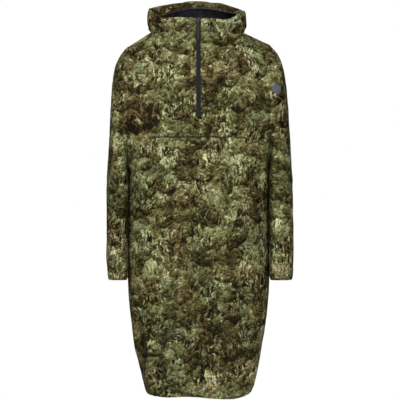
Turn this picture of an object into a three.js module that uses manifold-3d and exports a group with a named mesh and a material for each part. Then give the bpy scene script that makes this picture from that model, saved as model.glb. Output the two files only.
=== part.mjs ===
// Hooded pullover rain poncho: knee length, set-in sleeves, half zip and a pocket mouth across the chest,
// standing out in its worn form with nobody in it.
// Lengths are in millimetres and angles in degrees. +Z is up, the front faces -Y, +X is the wearer's left.
// The origin is the middle of the neck, at the height where the garment rests on the shoulders.

import * as THREE from 'three';
import { mergeVertices } from 'three/addons/utils/BufferGeometryUtils.js';
import Module from 'manifold-3d';

const wasm = await Module();
wasm.setup();

// Cloth
const clothWall = 2;
const liningWall = 1.2;
const liningGap = 0.8;
const seamGap = 0.3;
const seamBevel = 0.8;
const bevelShareOfCell = 0.4;
const sideRoundness = 0.8;

// How late a row climbs on its way from the centre to its sides
const rise = { neck: 1.8, shoulder: 1.3, chest: 1, hem: 0.5, settlesBy: 0.2 };

// Neck, shoulders and armholes
const sideSeamY = 3;
const neck = { left: 138, right: 132, leftZ: 4.5, rightZ: 3.5, frontZ: -50, backZ: 4 };
const armhole = { x: 204, topLeftZ: -36, topRightZ: -29.5, bottomZ: -389, halfDepth: 112 };
const yokeFrontZ = -140;
const yokeBackZ = -95;
const chestFrontZ = -395;
const chestBackZ = -392;
const hem = { frontZ: -1042, backZ: -1040, leftZ: -1028, rightZ: -1018 };

// Rows of a table as objects with the names of its columns
function tableOf(names, rows) {
  const columns = names.split(' ');
  return rows.map((row) => Object.fromEntries(columns.map((name, i) => [name, row[i]])));
}

// Depth of the centre front and centre back at each height, as the side view shows it
const bodyDepths = tableOf('z front back', [
  [4, -60, 78],
  [-50, -72, 97],
  [-95, -92, 110],
  [-140, -104, 117],
  [-220, -115, 122],
  [-320, -121, 124],
  [-450, -125, 125],
  [-700, -129, 127],
  [-850, -128, 124],
  [-960, -120, 116],
  [-1050, -107, 104],
]);

// Half widths of the body below the armholes
const bodyWidths = tableOf('z left right', [
  [-389, 204, 204],
  [-440, 204.3, 204.3],
  [-560, 204.5, 204.5],
  [-680, 204.3, 204.5],
  [-757, 202, 203.5],
  [-829, 194, 196],
  [-902, 183, 184],
  [-961, 169, 174],
  [-1005, 156, 162],
  [-1040, 146, 145],
]);

// Rows of the hood from the neck seam to the edge of its mouth. It is pushed back, so it is low and wide.
const hoodRows = tableOf('left right leftZ rightZ sideY climb frontY frontZ backY backZ', [
  [138, 132, 4.5, 3.5, 3, 1.8, -72, -50, 78, 4],
  [146, 137, 19, 18, 12, 1.8, -74, -24, 122, 8],
  [149, 139, 40, 40, 20, 1.8, -71, 0, 150, 42],
  [147, 137, 67, 65, 21, 1.7, -66, 21, 136, 82],
  [138, 131, 78, 74, 14, 1.6, -62, 34, 84, 102.5],
  [116, 117, 47.5, 60, 3, 2.2, -58, 41.5, 28, 80],
]);

// Rings of a sleeve from the armhole to the cuff seam. The left and right columns are where the outline shows,
// the inner ones are under the arm. A round below 1 makes a ring boxy, and slant brings the front of its inner
// side closer to the body.
const sleeveRings = tableOf('leftX leftZ rightX rightZ innerX innerZ depth y round slant', [
  [204, -36, 204, -29.5, 204, -389, 112, 3, 1, 0],
  [224, -60, 229, -57, 204.8, -394, 112, 3, 0.97, 2],
  [240, -93, 246, -99, 205.4, -400, 111, 3, 0.94, 5],
  [247, -137, 253, -145, 205.9, -407, 109, 2, 0.9, 9],
  [252, -190, 258, -192, 206.3, -415, 106, 1, 0.87, 12],
  [256, -250, 261.5, -255, 206.7, -425, 102, 0, 0.84, 15],
  [260, -320, 266, -322, 207, -437, 97, -1, 0.82, 17],
  [263.5, -392, 270, -392, 207.3, -455, 92, -2, 0.8, 18],
  [265, -462, 273, -466, 207.5, -492, 88, -4, 0.8, 19],
  [265.5, -535, 274.5, -540, 207.6, -545, 85, -7, 0.8, 18],
  [266, -600, 274.5, -605, 207.6, -603, 82, -10, 0.8, 18],
  [266, -645, 274, -648, 207.5, -646, 78, -12, 0.82, 19],
  [261.5, -686, 272.5, -686, 207.2, -686, 72, -14, 0.84, 19],
]);
const cuff = { height: 25, narrowing: 0.08 };

// Largest folds of the front and the back: soft troughs between two points of the panel
const frontFolds = tableOf('fromX fromZ toX toZ width depth', [
  [196, -480, 120, -560, 30, 7],
  [-60, -700, -95, -960, 34, 6],
  [70, -760, 100, -1000, 36, 7],
  [-165, -760, -157, -980, 16, 6],
]);
const backFolds = tableOf('fromX fromZ toX toZ width depth', [
  [-70, -520, -100, -900, 38, 7],
  [85, -600, 60, -980, 38, 6],
  [-185, -470, -110, -420, 30, 6],
]);
const foldTaper = { start: 0.15, span: 0.7 };
const foldEdgePower = 6;

// Zip, its end patch and its pull
const zip = { halfWidth: 6.5, topZ: 41, chainHalfWidth: 1.6, chainProud: 0.7, tapeWall: 1.4, steps: 26 };
const endPatch = { halfWidth: 8.5, height: 12, wall: 0.8 };
const slider = { z: 35, halfWidth: 4.5, length: 12, plate: 2.2, earWidth: 1.2, earHeight: 3.4,
  earDepth: 3.2, earInset: 0.2, pinRadius: 0.7, pinGap: 0.8 };
const pull = { eyeRadius: 2.1, eyeHole: 1.1, eyeWidth: 4, length: 62, neckLength: 9, gripWidth: 7,
  gripWall: 2, clearance: 0.8 };

const welt = { leftX: -137, rightX: 133, z: -301, height: 11, wall: 1.6 };
const transfer = { radius: 14.5, x: 224, z: -164, wall: 0.6, lift: 0.9, rings: 3, spokes: 24 };
const transferSearch = { fromRing: 1, toRing: 6, ringStep: 0.05, fromTurn: 10, toTurn: 120 };

const degrees = Math.PI / 180;
const lerp = THREE.MathUtils.lerp;

function printedCloth() {
  return new THREE.MeshStandardMaterial({ color: 0x4a4a30, roughness: 0.62, metalness: 0 });
}

function liningCloth() {
  return new THREE.MeshStandardMaterial({ color: 0x1e1f24, roughness: 0.7, metalness: 0 });
}

function zipBlack() {
  return new THREE.MeshStandardMaterial({ color: 0x17191a, roughness: 0.5, metalness: 0.05 });
}

function transferGrey() {
  return new THREE.MeshStandardMaterial({ color: 0x5e6270, roughness: 0.4, metalness: 0.1 });
}

// Smooth value between the rows of a table, at a place counted in rows
function smoothAt(values, place) {
  const last = values.length - 1;
  const start = Math.min(Math.max(Math.floor(place), 0), last - 1);
  const t = place - start;
  const a = values[Math.max(start - 1, 0)];
  const b = values[start];
  const c = values[start + 1];
  const d = values[Math.min(start + 2, last)];
  return b + 0.5 * t * (c - a + t * (2 * a - 5 * b + 4 * c - d + t * (3 * (b - c) + d - a)));
}

// The same for a table whose rows stand at falling heights
function atHeight(table, z, column) {
  let row = 0;
  while (row < table.length - 2 && z < table[row + 1].z) row += 1;
  const place = row + (table[row].z - z) / (table[row].z - table[row + 1].z);
  return smoothAt(table.map((entry) => entry[column]), THREE.MathUtils.clamp(place, 0, table.length - 1));
}

// One row round the body. place runs 0 to 1 from the neck to the shoulder tip, to 2 at the armpit and to 3
// at the hem.
function bodyRow(place) {
  if (place <= 1) {
    const front = lerp(neck.frontZ, yokeFrontZ, place);
    const back = lerp(neck.backZ, yokeBackZ, place);
    return ringRow(
      { x: lerp(neck.left, armhole.x, place), z: lerp(neck.leftZ, armhole.topLeftZ, place), reach: 0 },
      { x: lerp(neck.right, armhole.x, place), z: lerp(neck.rightZ, armhole.topRightZ, place), reach: 0 },
      front,
      back,
      lerp(rise.neck, rise.shoulder, place),
    );
  }
  if (place <= 2) {
    const turn = (90 - 180 * (place - 1)) * degrees;
    const reach = armhole.halfDepth * Math.cos(turn);
    const height = (top) => (top + armhole.bottomZ) / 2 + (Math.sin(turn) * (top - armhole.bottomZ)) / 2;
    return ringRow(
      { x: armhole.x, z: height(armhole.topLeftZ), reach },
      { x: armhole.x, z: height(armhole.topRightZ), reach },
      lerp(yokeFrontZ, chestFrontZ, place - 1),
      lerp(yokeBackZ, chestBackZ, place - 1),
      lerp(rise.shoulder, rise.chest, Math.min((place - 1) / rise.settlesBy, 1)),
    );
  }
  const leftZ = lerp(armhole.bottomZ, hem.leftZ, place - 2);
  const rightZ = lerp(armhole.bottomZ, hem.rightZ, place - 2);
  return ringRow(
    { x: atHeight(bodyWidths, leftZ, 'left'), z: leftZ, reach: 0 },
    { x: atHeight(bodyWidths, rightZ, 'right'), z: rightZ, reach: 0 },
    lerp(chestFrontZ, hem.frontZ, place - 2),
    lerp(chestBackZ, hem.backZ, place - 2),
    lerp(rise.chest, rise.hem, place - 2),
  );
}

function ringRow(left, right, frontZ, backZ, climb) {
  return {
    left,
    right,
    climb,
    sideY: sideSeamY,
    front: { y: atHeight(bodyDepths, frontZ, 'front'), z: frontZ },
    back: { y: atHeight(bodyDepths, backZ, 'back'), z: backZ },
  };
}

// One row round the hood. place runs 0 to 1 from the neck seam to the edge of the mouth.
function hoodRow(place) {
  const at = (column) => smoothAt(hoodRows.map((row) => row[column]), place * (hoodRows.length - 1));
  return {
    left: { x: at('left'), z: at('leftZ'), reach: 0 },
    right: { x: at('right'), z: at('rightZ'), reach: 0 },
    sideY: at('sideY'),
    climb: at('climb'),
    front: { y: at('frontY'), z: at('frontZ') },
    back: { y: at('backY'), z: at('backZ') },
  };
}

// A point of a row: share is its distance from the centre as a part of the half width, below 0 on the left
function rowPoint(row, face, share) {
  const end = share < 0 ? row.left : row.right;
  const centre = row[face];
  const depth = Math.abs(centre.y - row.sideY);
  const endCos = Math.min(end.reach / depth, 0.98) ** (1 / sideRoundness);
  const sine = Math.min(Math.abs(share), 1) ** (1 / sideRoundness) * Math.sqrt(1 - endCos * endCos);
  const cosine = Math.sqrt(Math.max(1 - sine * sine, 0));
  const climbed = (Math.max(cosine - endCos, 0) / (1 - endCos)) ** row.climb;
  return new THREE.Vector3(
    share * end.x,
    row.sideY + (centre.y - row.sideY) * cosine ** sideRoundness,
    end.z + (centre.z - end.z) * climbed,
  );
}

// Depth of the folds at a place on a panel
function foldDepth(folds, x, z) {
  let depth = 0;
  for (const fold of folds) {
    const from = new THREE.Vector2(fold.fromX, fold.fromZ);
    const along = new THREE.Vector2(fold.toX, fold.toZ).sub(from);
    const offset = new THREE.Vector2(x, z).sub(from);
    const share = THREE.MathUtils.clamp(offset.dot(along) / along.lengthSq(), 0, 1);
    const distance = offset.sub(along.multiplyScalar(share)).length();
    const taper = Math.sin(Math.PI * (foldTaper.start + foldTaper.span * share));
    depth += fold.depth * taper * Math.exp(-((distance / fold.width) ** 2));
  }
  return depth;
}

function bodyPoint(face, place, share) {
  const point = rowPoint(bodyRow(place), face, share);
  const edge = 1 - Math.abs(share) ** foldEdgePower;
  const folds = face === 'front' ? frontFolds : backFolds;
  point.y += (face === 'front' ? 1 : -1) * edge * foldDepth(folds, point.x, point.z);
  return point;
}

// The point of the front that shows at a given x and z
function frontAt(x, z) {
  let low = 0;
  let high = 3;
  for (let step = 0; step < 40; step += 1) {
    const middle = (low + high) / 2;
    const row = bodyRow(middle);
    const share = x / (x < 0 ? row.left.x : row.right.x);
    if (rowPoint(row, 'front', share).z > z) low = middle;
    else high = middle;
  }
  const row = bodyRow(low);
  return bodyPoint('front', low, x / (x < 0 ? row.left.x : row.right.x));
}

// Depth of the centre front at a height, on the body or on the collar part of the hood
function centreFrontY(z) {
  if (z <= neck.frontZ) return bodyPoint('front', frontPlaceAt(z), 0).y;
  let low = 0;
  let high = 1;
  for (let step = 0; step < 40; step += 1) {
    const middle = (low + high) / 2;
    if (hoodRow(middle).front.z < z) low = middle;
    else high = middle;
  }
  return hoodRow(low).front.y;
}

function frontPlaceAt(z) {
  if (z > yokeFrontZ) return (z - neck.frontZ) / (yokeFrontZ - neck.frontZ);
  return 1 + (z - yokeFrontZ) / (chestFrontZ - yokeFrontZ);
}

// Shares of the half width at which a panel's columns stand, closer together where it turns round the side
function sideShares(count) {
  return Array.from({ length: count }, (_, i) => Math.sin(((i + 1) / count) * 90 * degrees) ** sideRoundness);
}

// Smooth normals of a grid of points. Seen from outside, rows run down and columns from left to right.
function gridNormals(grid, closed) {
  const rows = grid.length;
  const columns = grid[0].length;
  const wrap = (j) => (closed ? (j + columns) % columns : THREE.MathUtils.clamp(j, 0, columns - 1));
  return grid.map((row, i) => row.map((_, j) => {
    const down = grid[Math.min(i + 1, rows - 1)][j].clone().sub(grid[Math.max(i - 1, 0)][j]);
    const across = grid[i][wrap(j + 1)].clone().sub(grid[i][wrap(j - 1)]);
    return down.cross(across).normalize();
  }));
}

// Moves the outer columns or rows of a grid towards their neighbours, which opens the gap at a seam
function trimEdges(grid, edges) {
  const half = seamGap / 2;
  const last = grid.length - 1;
  const moved = grid.map((row) => row.map((point) => point.clone()));
  const shift = (i, j, toI, toJ) => {
    const step = grid[toI][toJ].clone().sub(grid[i][j]).setLength(half);
    moved[i][j].add(step);
  };
  grid.forEach((row, i) => {
    if (edges.includes('start')) shift(i, 0, i, 1);
    if (edges.includes('end')) shift(i, row.length - 1, i, row.length - 2);
  });
  grid[0].forEach((_, j) => {
    if (edges.includes('top')) shift(0, j, 1, j);
    if (edges.includes('bottom')) shift(last, j, last - 1, j);
  });
  return moved;
}

// A cloth wall from the grid of its outer points. keep says which cells are there, and limit corrects an inner
// point.
function wallGeometry(grid, { closed = false, wall = clothWall, keep = () => true, limit = (p) => p } = {}) {
  const rows = grid.length;
  const columns = grid[0].length;
  const normals = gridNormals(grid, closed);
  const inner = grid.map((row, i) => row.map((point, j) => {
    const bevelI = i === 0 ? 1 : i === rows - 1 ? rows - 2 : i;
    const bevelJ = closed ? j : j === 0 ? 1 : j === columns - 1 ? columns - 2 : j;
    const moved = point.clone().addScaledVector(normals[i][j], -wall);
    if (bevelI !== i || bevelJ !== j) {
      const step = grid[bevelI][bevelJ].clone().sub(point);
      moved.addScaledVector(step, Math.min(seamBevel / step.length(), bevelShareOfCell));
    }
    return limit(moved, i, j);
  }));
  const points = [...grid.flat(), ...inner.flat()];
  const index = (layer, i, j) => layer * rows * columns + i * columns + (j % columns);
  const triangles = [];
  const quad = (a, b, c, d) => triangles.push(a, b, c, a, c, d);
  const width = closed ? columns : columns - 1;
  const there = (i, j) => i >= 0 && i < rows - 1 && (closed || (j >= 0 && j < width))
    && keep(i, (j + width) % width);
  for (let i = 0; i < rows - 1; i += 1) {
    for (let j = 0; j < width; j += 1) {
      if (!there(i, j)) continue;
      const cell = [[i, j], [i, j + 1], [i + 1, j + 1], [i + 1, j]];
      const [a, b, c, d] = cell.map(([row, column]) => index(0, row, column));
      const [e, f, g, h] = cell.map(([row, column]) => index(1, row, column));
      quad(a, d, c, b);
      quad(e, f, g, h);
      if (!there(i - 1, j)) quad(a, b, f, e);
      if (!there(i + 1, j)) quad(c, d, h, g);
      if (!there(i, j - 1)) quad(d, a, e, h);
      if (!there(i, j + 1)) quad(b, c, g, f);
    }
  }
  return solidFrom(points, triangles);
}

function solidFrom(points, triangles) {
  const geometry = new THREE.BufferGeometry();
  const numbers = points.flatMap((point) => [point.x, point.y, point.z]);
  geometry.setAttribute('position', new THREE.Float32BufferAttribute(numbers, 3));
  geometry.setIndex(triangles);
  return geometry;
}

// A body panel. Its columns run from the left seam to the right one, with the zip's slot between the middle
// two.
function panelGrid(face, places, sideColumns) {
  const shares = sideShares(sideColumns);
  return places.map((place) => {
    const row = bodyRow(place);
    const left = [...shares].reverse().map((share) => -share);
    const middle = [-zip.halfWidth / row.left.x, zip.halfWidth / row.right.x];
    return [...left, ...middle, ...shares].map((share) => bodyPoint(face, place, share));
  });
}

function spread(from, to, count) {
  return Array.from({ length: count }, (_, i) => from + ((to - from) * (i + 1)) / count);
}

const frontPlaces = [0, ...spread(0, 1, 4), ...spread(1, 2, 10), ...spread(2, 3, 16)];
const backPlaces = [0, ...spread(0, 1, 4), ...spread(1, 2, 9), ...spread(2, 3, 13)];
const zipEndRow = 8;
const zipBottomZ = bodyRow(frontPlaces[zipEndRow]).front.z;

function bodyLimit(places) {
  return (point, i, j, columns) => {
    const atArmhole = places[i] >= 1 && places[i] <= 2;
    const atEdge = j === 0 || j === columns - 1;
    const reach = armhole.x - seamGap / 2;
    if (atArmhole && atEdge) point.x = THREE.MathUtils.clamp(point.x, -reach, reach);
    return point;
  };
}

function frontGeometry() {
  const sideColumns = 12;
  const grid = trimEdges(panelGrid('front', frontPlaces, sideColumns), ['start', 'end', 'top']);
  const limit = bodyLimit(frontPlaces);
  return wallGeometry(grid, {
    keep: (i, j) => j !== sideColumns || i >= zipEndRow,
    limit: (point, i, j) => limit(point, i, j, grid[0].length),
  });
}

function backGeometry() {
  const grid = trimEdges(panelGrid('back', backPlaces, 10), ['start', 'end', 'top']);
  grid.forEach((row) => row.reverse());
  const limit = bodyLimit(backPlaces);
  return wallGeometry(grid, { limit: (point, i, j) => limit(point, i, j, grid[0].length) });
}

// One half of the hood, from the centre back round the side to the zip
function hoodHalfGrid(side) {
  const rows = 10;
  const frontColumns = 6;
  const backColumns = 7;
  const sign = side === 'left' ? -1 : 1;
  return [0, ...spread(0, 1, rows)].map((place) => {
    const row = hoodRow(place);
    const slot = zip.halfWidth / row[side].x;
    const front = [slot, ...sideShares(frontColumns)].map((share) => rowPoint(row, 'front', sign * share));
    const backShares = [0, ...sideShares(backColumns)].slice(0, -1);
    const back = backShares.map((share) => rowPoint(row, 'back', sign * share));
    return [...back, ...front.reverse()];
  });
}

function hoodGeometry(side) {
  const grid = trimEdges(hoodHalfGrid(side), ['start', 'top']);
  if (side === 'right') grid.forEach((row) => row.reverse());
  return wallGeometry(grid.reverse());
}

function liningGeometry() {
  const halves = ['left', 'right'].map((side) => hoodHalfGrid(side));
  const whole = halves[0].map((row, i) => [...[...row].reverse(), ...halves[1][i].slice(1)]).reverse();
  const normals = gridNormals(whole, false);
  const inset = clothWall + liningGap;
  const inside = (point, normal) => point.clone().addScaledVector(normal, inset);
  const grid = whole.map((row, i) => row.map((point, j) => inside(point, normals[i][j])));
  grid.forEach((row) => row.reverse());
  return wallGeometry(trimEdges(grid, ['start', 'end']), { wall: liningWall });
}

// A point of a sleeve. place is counted in rings, and turn is 0 on the outside, 90 at the front and 180 under
// the arm.
function sleevePoint(side, place, turn) {
  const at = (column) => smoothAt(sleeveRings.map((ring) => ring[column]), place);
  const sign = side === 'left' ? -1 : 1;
  const outer = new THREE.Vector2(at(`${side}X`), at(`${side}Z`));
  const inner = new THREE.Vector2(at('innerX'), at('innerZ'));
  const cosine = Math.cos(turn * degrees);
  const sine = Math.sin(turn * degrees);
  const along = 0.5 + 0.5 * Math.sign(cosine) * Math.abs(cosine) ** at('round');
  const across = Math.sign(sine) * Math.abs(sine) ** at('round');
  const flat = inner.lerp(outer, along);
  const x = flat.x - at('slant') * across * (1 - along);
  return new THREE.Vector3(sign * x, at('y') - at('depth') * across, flat.y);
}

const ringColumns = 20;

function sleeveRow(side, place) {
  const step = (side === 'left' ? 1 : -1) * (360 / ringColumns);
  return Array.from({ length: ringColumns }, (_, j) => sleevePoint(side, place, j * step));
}

function sleeveGeometry(side) {
  const grid = sleeveRings.map((_, place) => sleeveRow(side, place));
  const edge = armhole.x + seamGap / 2;
  const sign = side === 'left' ? -1 : 1;
  grid[0].forEach((point) => point.setX(sign * edge));
  const outside = (point, i) => (i === 0 ? point.setX(sign * Math.max(Math.abs(point.x), edge)) : point);
  return wallGeometry(grid, { closed: true, limit: outside });
}

// The turned band at the wrist, a little narrower than the sleeve it hangs from
function cuffGeometry(side) {
  const seam = sleeveRow(side, sleeveRings.length - 1);
  const middle = seam.reduce((sum, point) => sum.add(point), new THREE.Vector3()).divideScalar(seam.length);
  const grid = [0, 0.5, 1].map((drop) => seam.map((point) => {
    const scale = 1 - cuff.narrowing * drop;
    const moved = point.clone().sub(middle).multiply(new THREE.Vector3(scale, scale, 1)).add(middle);
    return moved.setZ(point.z - seamGap - drop * cuff.height);
  }));
  return wallGeometry(grid, { closed: true });
}

// A strip down the centre front between two distances from its middle
function zipStripGeometry(fromX, toX, proud, wall) {
  const grid = Array.from({ length: zip.steps + 1 }, (_, i) => {
    const z = lerp(zip.topZ, zipBottomZ + 1, i / zip.steps);
    const y = centreFrontY(z) - proud;
    return [new THREE.Vector3(fromX, y, z), new THREE.Vector3(toX, y, z)];
  });
  return flatWall(grid, wall);
}

// A wall of even thickness straight back from its front points, without bevelled edges
function flatWall(grid, wall) {
  const rows = grid.length;
  const columns = grid[0].length;
  const back = grid.map((row) => row.map((point) => point.clone().setY(point.y + wall)));
  const points = [...grid.flat(), ...back.flat()];
  const index = (layer, i, j) => layer * rows * columns + i * columns + j;
  const triangles = [];
  const quad = (a, b, c, d) => triangles.push(a, b, c, a, c, d);
  for (let i = 0; i < rows - 1; i += 1) {
    for (let j = 0; j < columns - 1; j += 1) {
      quad(index(0, i, j), index(0, i + 1, j), index(0, i + 1, j + 1), index(0, i, j + 1));
      quad(index(1, i, j), index(1, i, j + 1), index(1, i + 1, j + 1), index(1, i + 1, j));
      if (j === 0) quad(index(0, i, 0), index(1, i, 0), index(1, i + 1, 0), index(0, i + 1, 0));
      if (j === columns - 2) {
        const k = columns - 1;
        quad(index(0, i, k), index(0, i + 1, k), index(1, i + 1, k), index(1, i, k));
      }
      if (i === 0) quad(index(0, 0, j), index(0, 0, j + 1), index(1, 0, j + 1), index(1, 0, j));
      if (i === rows - 2) {
        const k = rows - 1;
        quad(index(0, k, j), index(1, k, j), index(1, k, j + 1), index(0, k, j + 1));
      }
    }
  }
  return solidFrom(points, triangles);
}

// The patch that closes the lower end of the zip
function endPatchGeometry() {
  const top = zipBottomZ + endPatch.height - 2;
  const grid = [0, 1, 2, 3].map((i) => {
    const z = top - (i * endPatch.height) / 3;
    const y = centreFrontY(z) - zip.chainProud - seamGap - endPatch.wall;
    return [-1, 0, 1].map((across) => new THREE.Vector3(across * endPatch.halfWidth, y, z));
  });
  return flatWall(grid, endPatch.wall);
}

// The strip over the pocket mouth, laid on the front panel
function weltGeometry() {
  const steps = 20;
  const grid = [0, 1, 2].map((i) => Array.from({ length: steps + 1 }, (_, j) => {
    const x = lerp(welt.leftX, welt.rightX, j / steps);
    const z = welt.z + welt.height * (1 - i / 2);
    const point = frontAt(x, z);
    point.y -= seamGap + 0.7 + welt.wall;
    return point;
  }));
  return flatWall(grid, welt.wall);
}

// The round transfer on the wearer's left sleeve, from the sleeve's points moved out
function transferGeometry() {
  const side = 'right';
  const { place, turn } = transferPlace(side);
  const centre = sleevePoint(side, place, turn);
  const perTurn = sleevePoint(side, place, turn + 1).sub(centre);
  const perPlace = sleevePoint(side, place + 0.1, turn).sub(centre).multiplyScalar(10);
  const across = perTurn.clone().normalize();
  const outward = perTurn.clone().cross(perPlace).normalize();
  const up = outward.clone().cross(across);
  const onSleeve = (right, high) => {
    const dPlace = high / perPlace.dot(up);
    const dTurn = (right - dPlace * perPlace.dot(across)) / perTurn.length();
    return sleevePoint(side, place + dPlace, turn + dTurn);
  };
  const disc = (height) => {
    const points = [onSleeve(0, 0)];
    for (let ring = 1; ring <= transfer.rings; ring += 1) {
      for (let spoke = 0; spoke < transfer.spokes; spoke += 1) {
        const angle = (spoke / transfer.spokes) * 2 * Math.PI;
        const radius = (transfer.radius * ring) / transfer.rings;
        points.push(onSleeve(radius * Math.cos(angle), radius * Math.sin(angle)));
      }
    }
    return points.map((point) => point.addScaledVector(outward, height));
  };
  const count = 1 + transfer.rings * transfer.spokes;
  const index = (layer, ring, spoke) => layer * count
    + (ring === 0 ? 0 : 1 + (ring - 1) * transfer.spokes + (spoke % transfer.spokes));
  const triangles = [];
  for (let spoke = 0; spoke < transfer.spokes; spoke += 1) {
    for (let ring = 0; ring < transfer.rings; ring += 1) {
      for (const layer of [0, 1]) {
        const corners = [[ring, spoke], [ring + 1, spoke], [ring + 1, spoke + 1], [ring, spoke + 1]];
        const [a, b, c, d] = corners.map(([r, k]) => index(layer, r, k));
        const faces = ring === 0 ? [[a, b, c]] : [[a, b, c], [a, c, d]];
        faces.forEach((face) => triangles.push(...(layer === 0 ? face : face.reverse())));
      }
    }
    const [e, f, g, h] = [[0, spoke], [1, spoke], [1, spoke + 1], [0, spoke + 1]]
      .map(([layer, k]) => index(layer, transfer.rings, k));
    triangles.push(e, f, g, e, g, h);
  }
  return solidFrom([...disc(transfer.lift + transfer.wall), ...disc(transfer.lift)], triangles);
}

// Ring and turn of the sleeve at which the transfer's middle shows
function transferPlace(side) {
  let best = { place: 0, turn: 0, error: Infinity };
  const { fromRing, toRing, ringStep, fromTurn, toTurn } = transferSearch;
  for (let place = fromRing; place < toRing; place += ringStep) {
    for (let turn = fromTurn; turn < toTurn; turn += 1) {
      const point = sleevePoint(side, place, turn);
      const error = Math.hypot(point.x - transfer.x, point.z - transfer.z);
      if (error < best.error) best = { place, turn, error };
    }
  }
  return best;
}

function toManifold(geometry) {
  const bare = geometry.clone();
  bare.deleteAttribute('normal');
  bare.deleteAttribute('uv');
  const merged = mergeVertices(bare, 1e-4);
  return new wasm.Manifold(new wasm.Mesh({
    numProp: 3,
    vertProperties: new Float32Array(merged.attributes.position.array),
    triVerts: new Uint32Array(merged.index.array),
  }));
}

function joined(geometries) {
  const whole = geometries.map(toManifold).reduce((sum, next) => sum.add(next));
  const mesh = whole.getMesh();
  const geometry = new THREE.BufferGeometry();
  geometry.setAttribute('position', new THREE.BufferAttribute(new Float32Array(mesh.vertProperties), 3));
  geometry.setIndex(new THREE.BufferAttribute(new Uint32Array(mesh.triVerts), 1));
  return geometry;
}

const pinOut = slider.plate + pull.eyeRadius + slider.pinGap;

// Slider in its own frame: X across, -Y out of the cloth from the top of the chain, Z up, and the pin as high as
// the origin
function sliderGeometry() {
  const outline = new THREE.Shape();
  const half = slider.halfWidth;
  const tail = half * 0.7;
  outline.moveTo(-half, slider.length / 2);
  outline.lineTo(half, slider.length / 2);
  outline.lineTo(half, 0);
  outline.lineTo(tail, -slider.length / 2);
  outline.lineTo(-tail, -slider.length / 2);
  outline.lineTo(-half, 0);
  const plate = new THREE.ExtrudeGeometry(outline, { depth: slider.plate, bevelEnabled: false });
  plate.rotateX(Math.PI / 2);
  const earX = pull.eyeWidth / 2 + seamGap + slider.earWidth / 2;
  const ears = [-earX, earX].map((x) => {
    const reach = slider.earHeight + 2 * slider.earInset;
    const ear = new THREE.BoxGeometry(slider.earWidth, reach, slider.earDepth);
    return ear.translate(x, slider.earInset - slider.plate - slider.earHeight / 2, 0);
  });
  const pin = new THREE.CylinderGeometry(slider.pinRadius, slider.pinRadius, 2 * earX, 12);
  pin.rotateZ(Math.PI / 2).translate(0, -pinOut, 0);
  return joined([plate, ...ears, pin]);
}

// Pull in its own frame: the pin's axis along X through the origin, the grip hanging down
function pullGeometry() {
  const profile = new THREE.Shape();
  const half = pull.gripWall / 2;
  const start = Math.asin(half / pull.eyeRadius);
  profile.absarc(0, 0, pull.eyeRadius, -Math.PI / 2 + start, Math.PI * 1.5 - start, false);
  profile.lineTo(-half, -pull.neckLength);
  profile.lineTo(half, -pull.neckLength);
  const hole = new THREE.Path();
  hole.absarc(0, 0, pull.eyeHole, 0, Math.PI * 2, true);
  profile.holes.push(hole);
  const eye = new THREE.ExtrudeGeometry(profile, {
    depth: pull.eyeWidth,
    bevelEnabled: false,
    curveSegments: 10,
  });
  eye.translate(0, 0, -pull.eyeWidth / 2);
  const grip = new THREE.Shape();
  const top = -pull.neckLength + 3;
  const corner = pull.gripWidth / 2;
  grip.moveTo(-pull.eyeWidth / 2, top);
  grip.lineTo(-corner, top - 6);
  grip.lineTo(-corner, -pull.length + corner);
  grip.absarc(0, -pull.length + corner, corner, Math.PI, Math.PI * 2, false);
  grip.lineTo(corner, top - 6);
  grip.lineTo(pull.eyeWidth / 2, top);
  const blade = new THREE.ExtrudeGeometry(grip, {
    depth: pull.gripWall,
    bevelEnabled: false,
    curveSegments: 8,
  });
  blade.translate(0, 0, -pull.gripWall / 2).rotateY(Math.PI / 2);
  return joined([eye, blade]).rotateX(Math.PI / 2).rotateZ(Math.PI / 2);
}

// Lean at which the hanging pull just clears the chain over its whole length
function pullLean(pin) {
  let lean = 0;
  for (let down = 6; down <= pull.length; down += 2) {
    const y = centreFrontY(pin.z - down) - zip.chainProud - pull.gripWall / 2 - pull.clearance;
    lean = Math.max(lean, Math.atan2(pin.y - y, down));
  }
  return lean;
}

function addMesh(group, name, geometry, material) {
  const mesh = new THREE.Mesh(geometry, material);
  mesh.name = name;
  group.add(mesh);
  return mesh;
}

const poncho = new THREE.Group();
addMesh(poncho, 'front_panel', frontGeometry(), printedCloth());
addMesh(poncho, 'back_panel', backGeometry(), printedCloth());
for (const side of ['left', 'right']) {
  // The tables name the sides as seen from the front, and the nodes name them as the wearer does
  const wearer = side === 'left' ? 'right' : 'left';
  addMesh(poncho, `sleeve_${wearer}`, sleeveGeometry(side), printedCloth());
  addMesh(poncho, `cuff_${wearer}`, cuffGeometry(side), printedCloth());
  addMesh(poncho, `hood_${wearer}`, hoodGeometry(side), printedCloth());
}
addMesh(poncho, 'hood_lining', liningGeometry(), liningCloth());
addMesh(poncho, 'pocket_welt', weltGeometry(), printedCloth());
addMesh(poncho, 'sleeve_transfer', transferGeometry(), transferGrey());

const tapeEdge = zip.halfWidth - seamGap;
const tapeInner = zip.chainHalfWidth + seamGap;
addMesh(poncho, 'zip_tape_right', zipStripGeometry(-tapeEdge, -tapeInner, -0.3, zip.tapeWall), zipBlack());
addMesh(poncho, 'zip_tape_left', zipStripGeometry(tapeInner, tapeEdge, -0.3, zip.tapeWall), zipBlack());
const chainWall = zip.chainProud + zip.tapeWall;
const chain = zipStripGeometry(-zip.chainHalfWidth, zip.chainHalfWidth, zip.chainProud, chainWall);
addMesh(poncho, 'zip_chain', chain, zipBlack());
addMesh(poncho, 'zip_end_patch', endPatchGeometry(), zipBlack());

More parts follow.
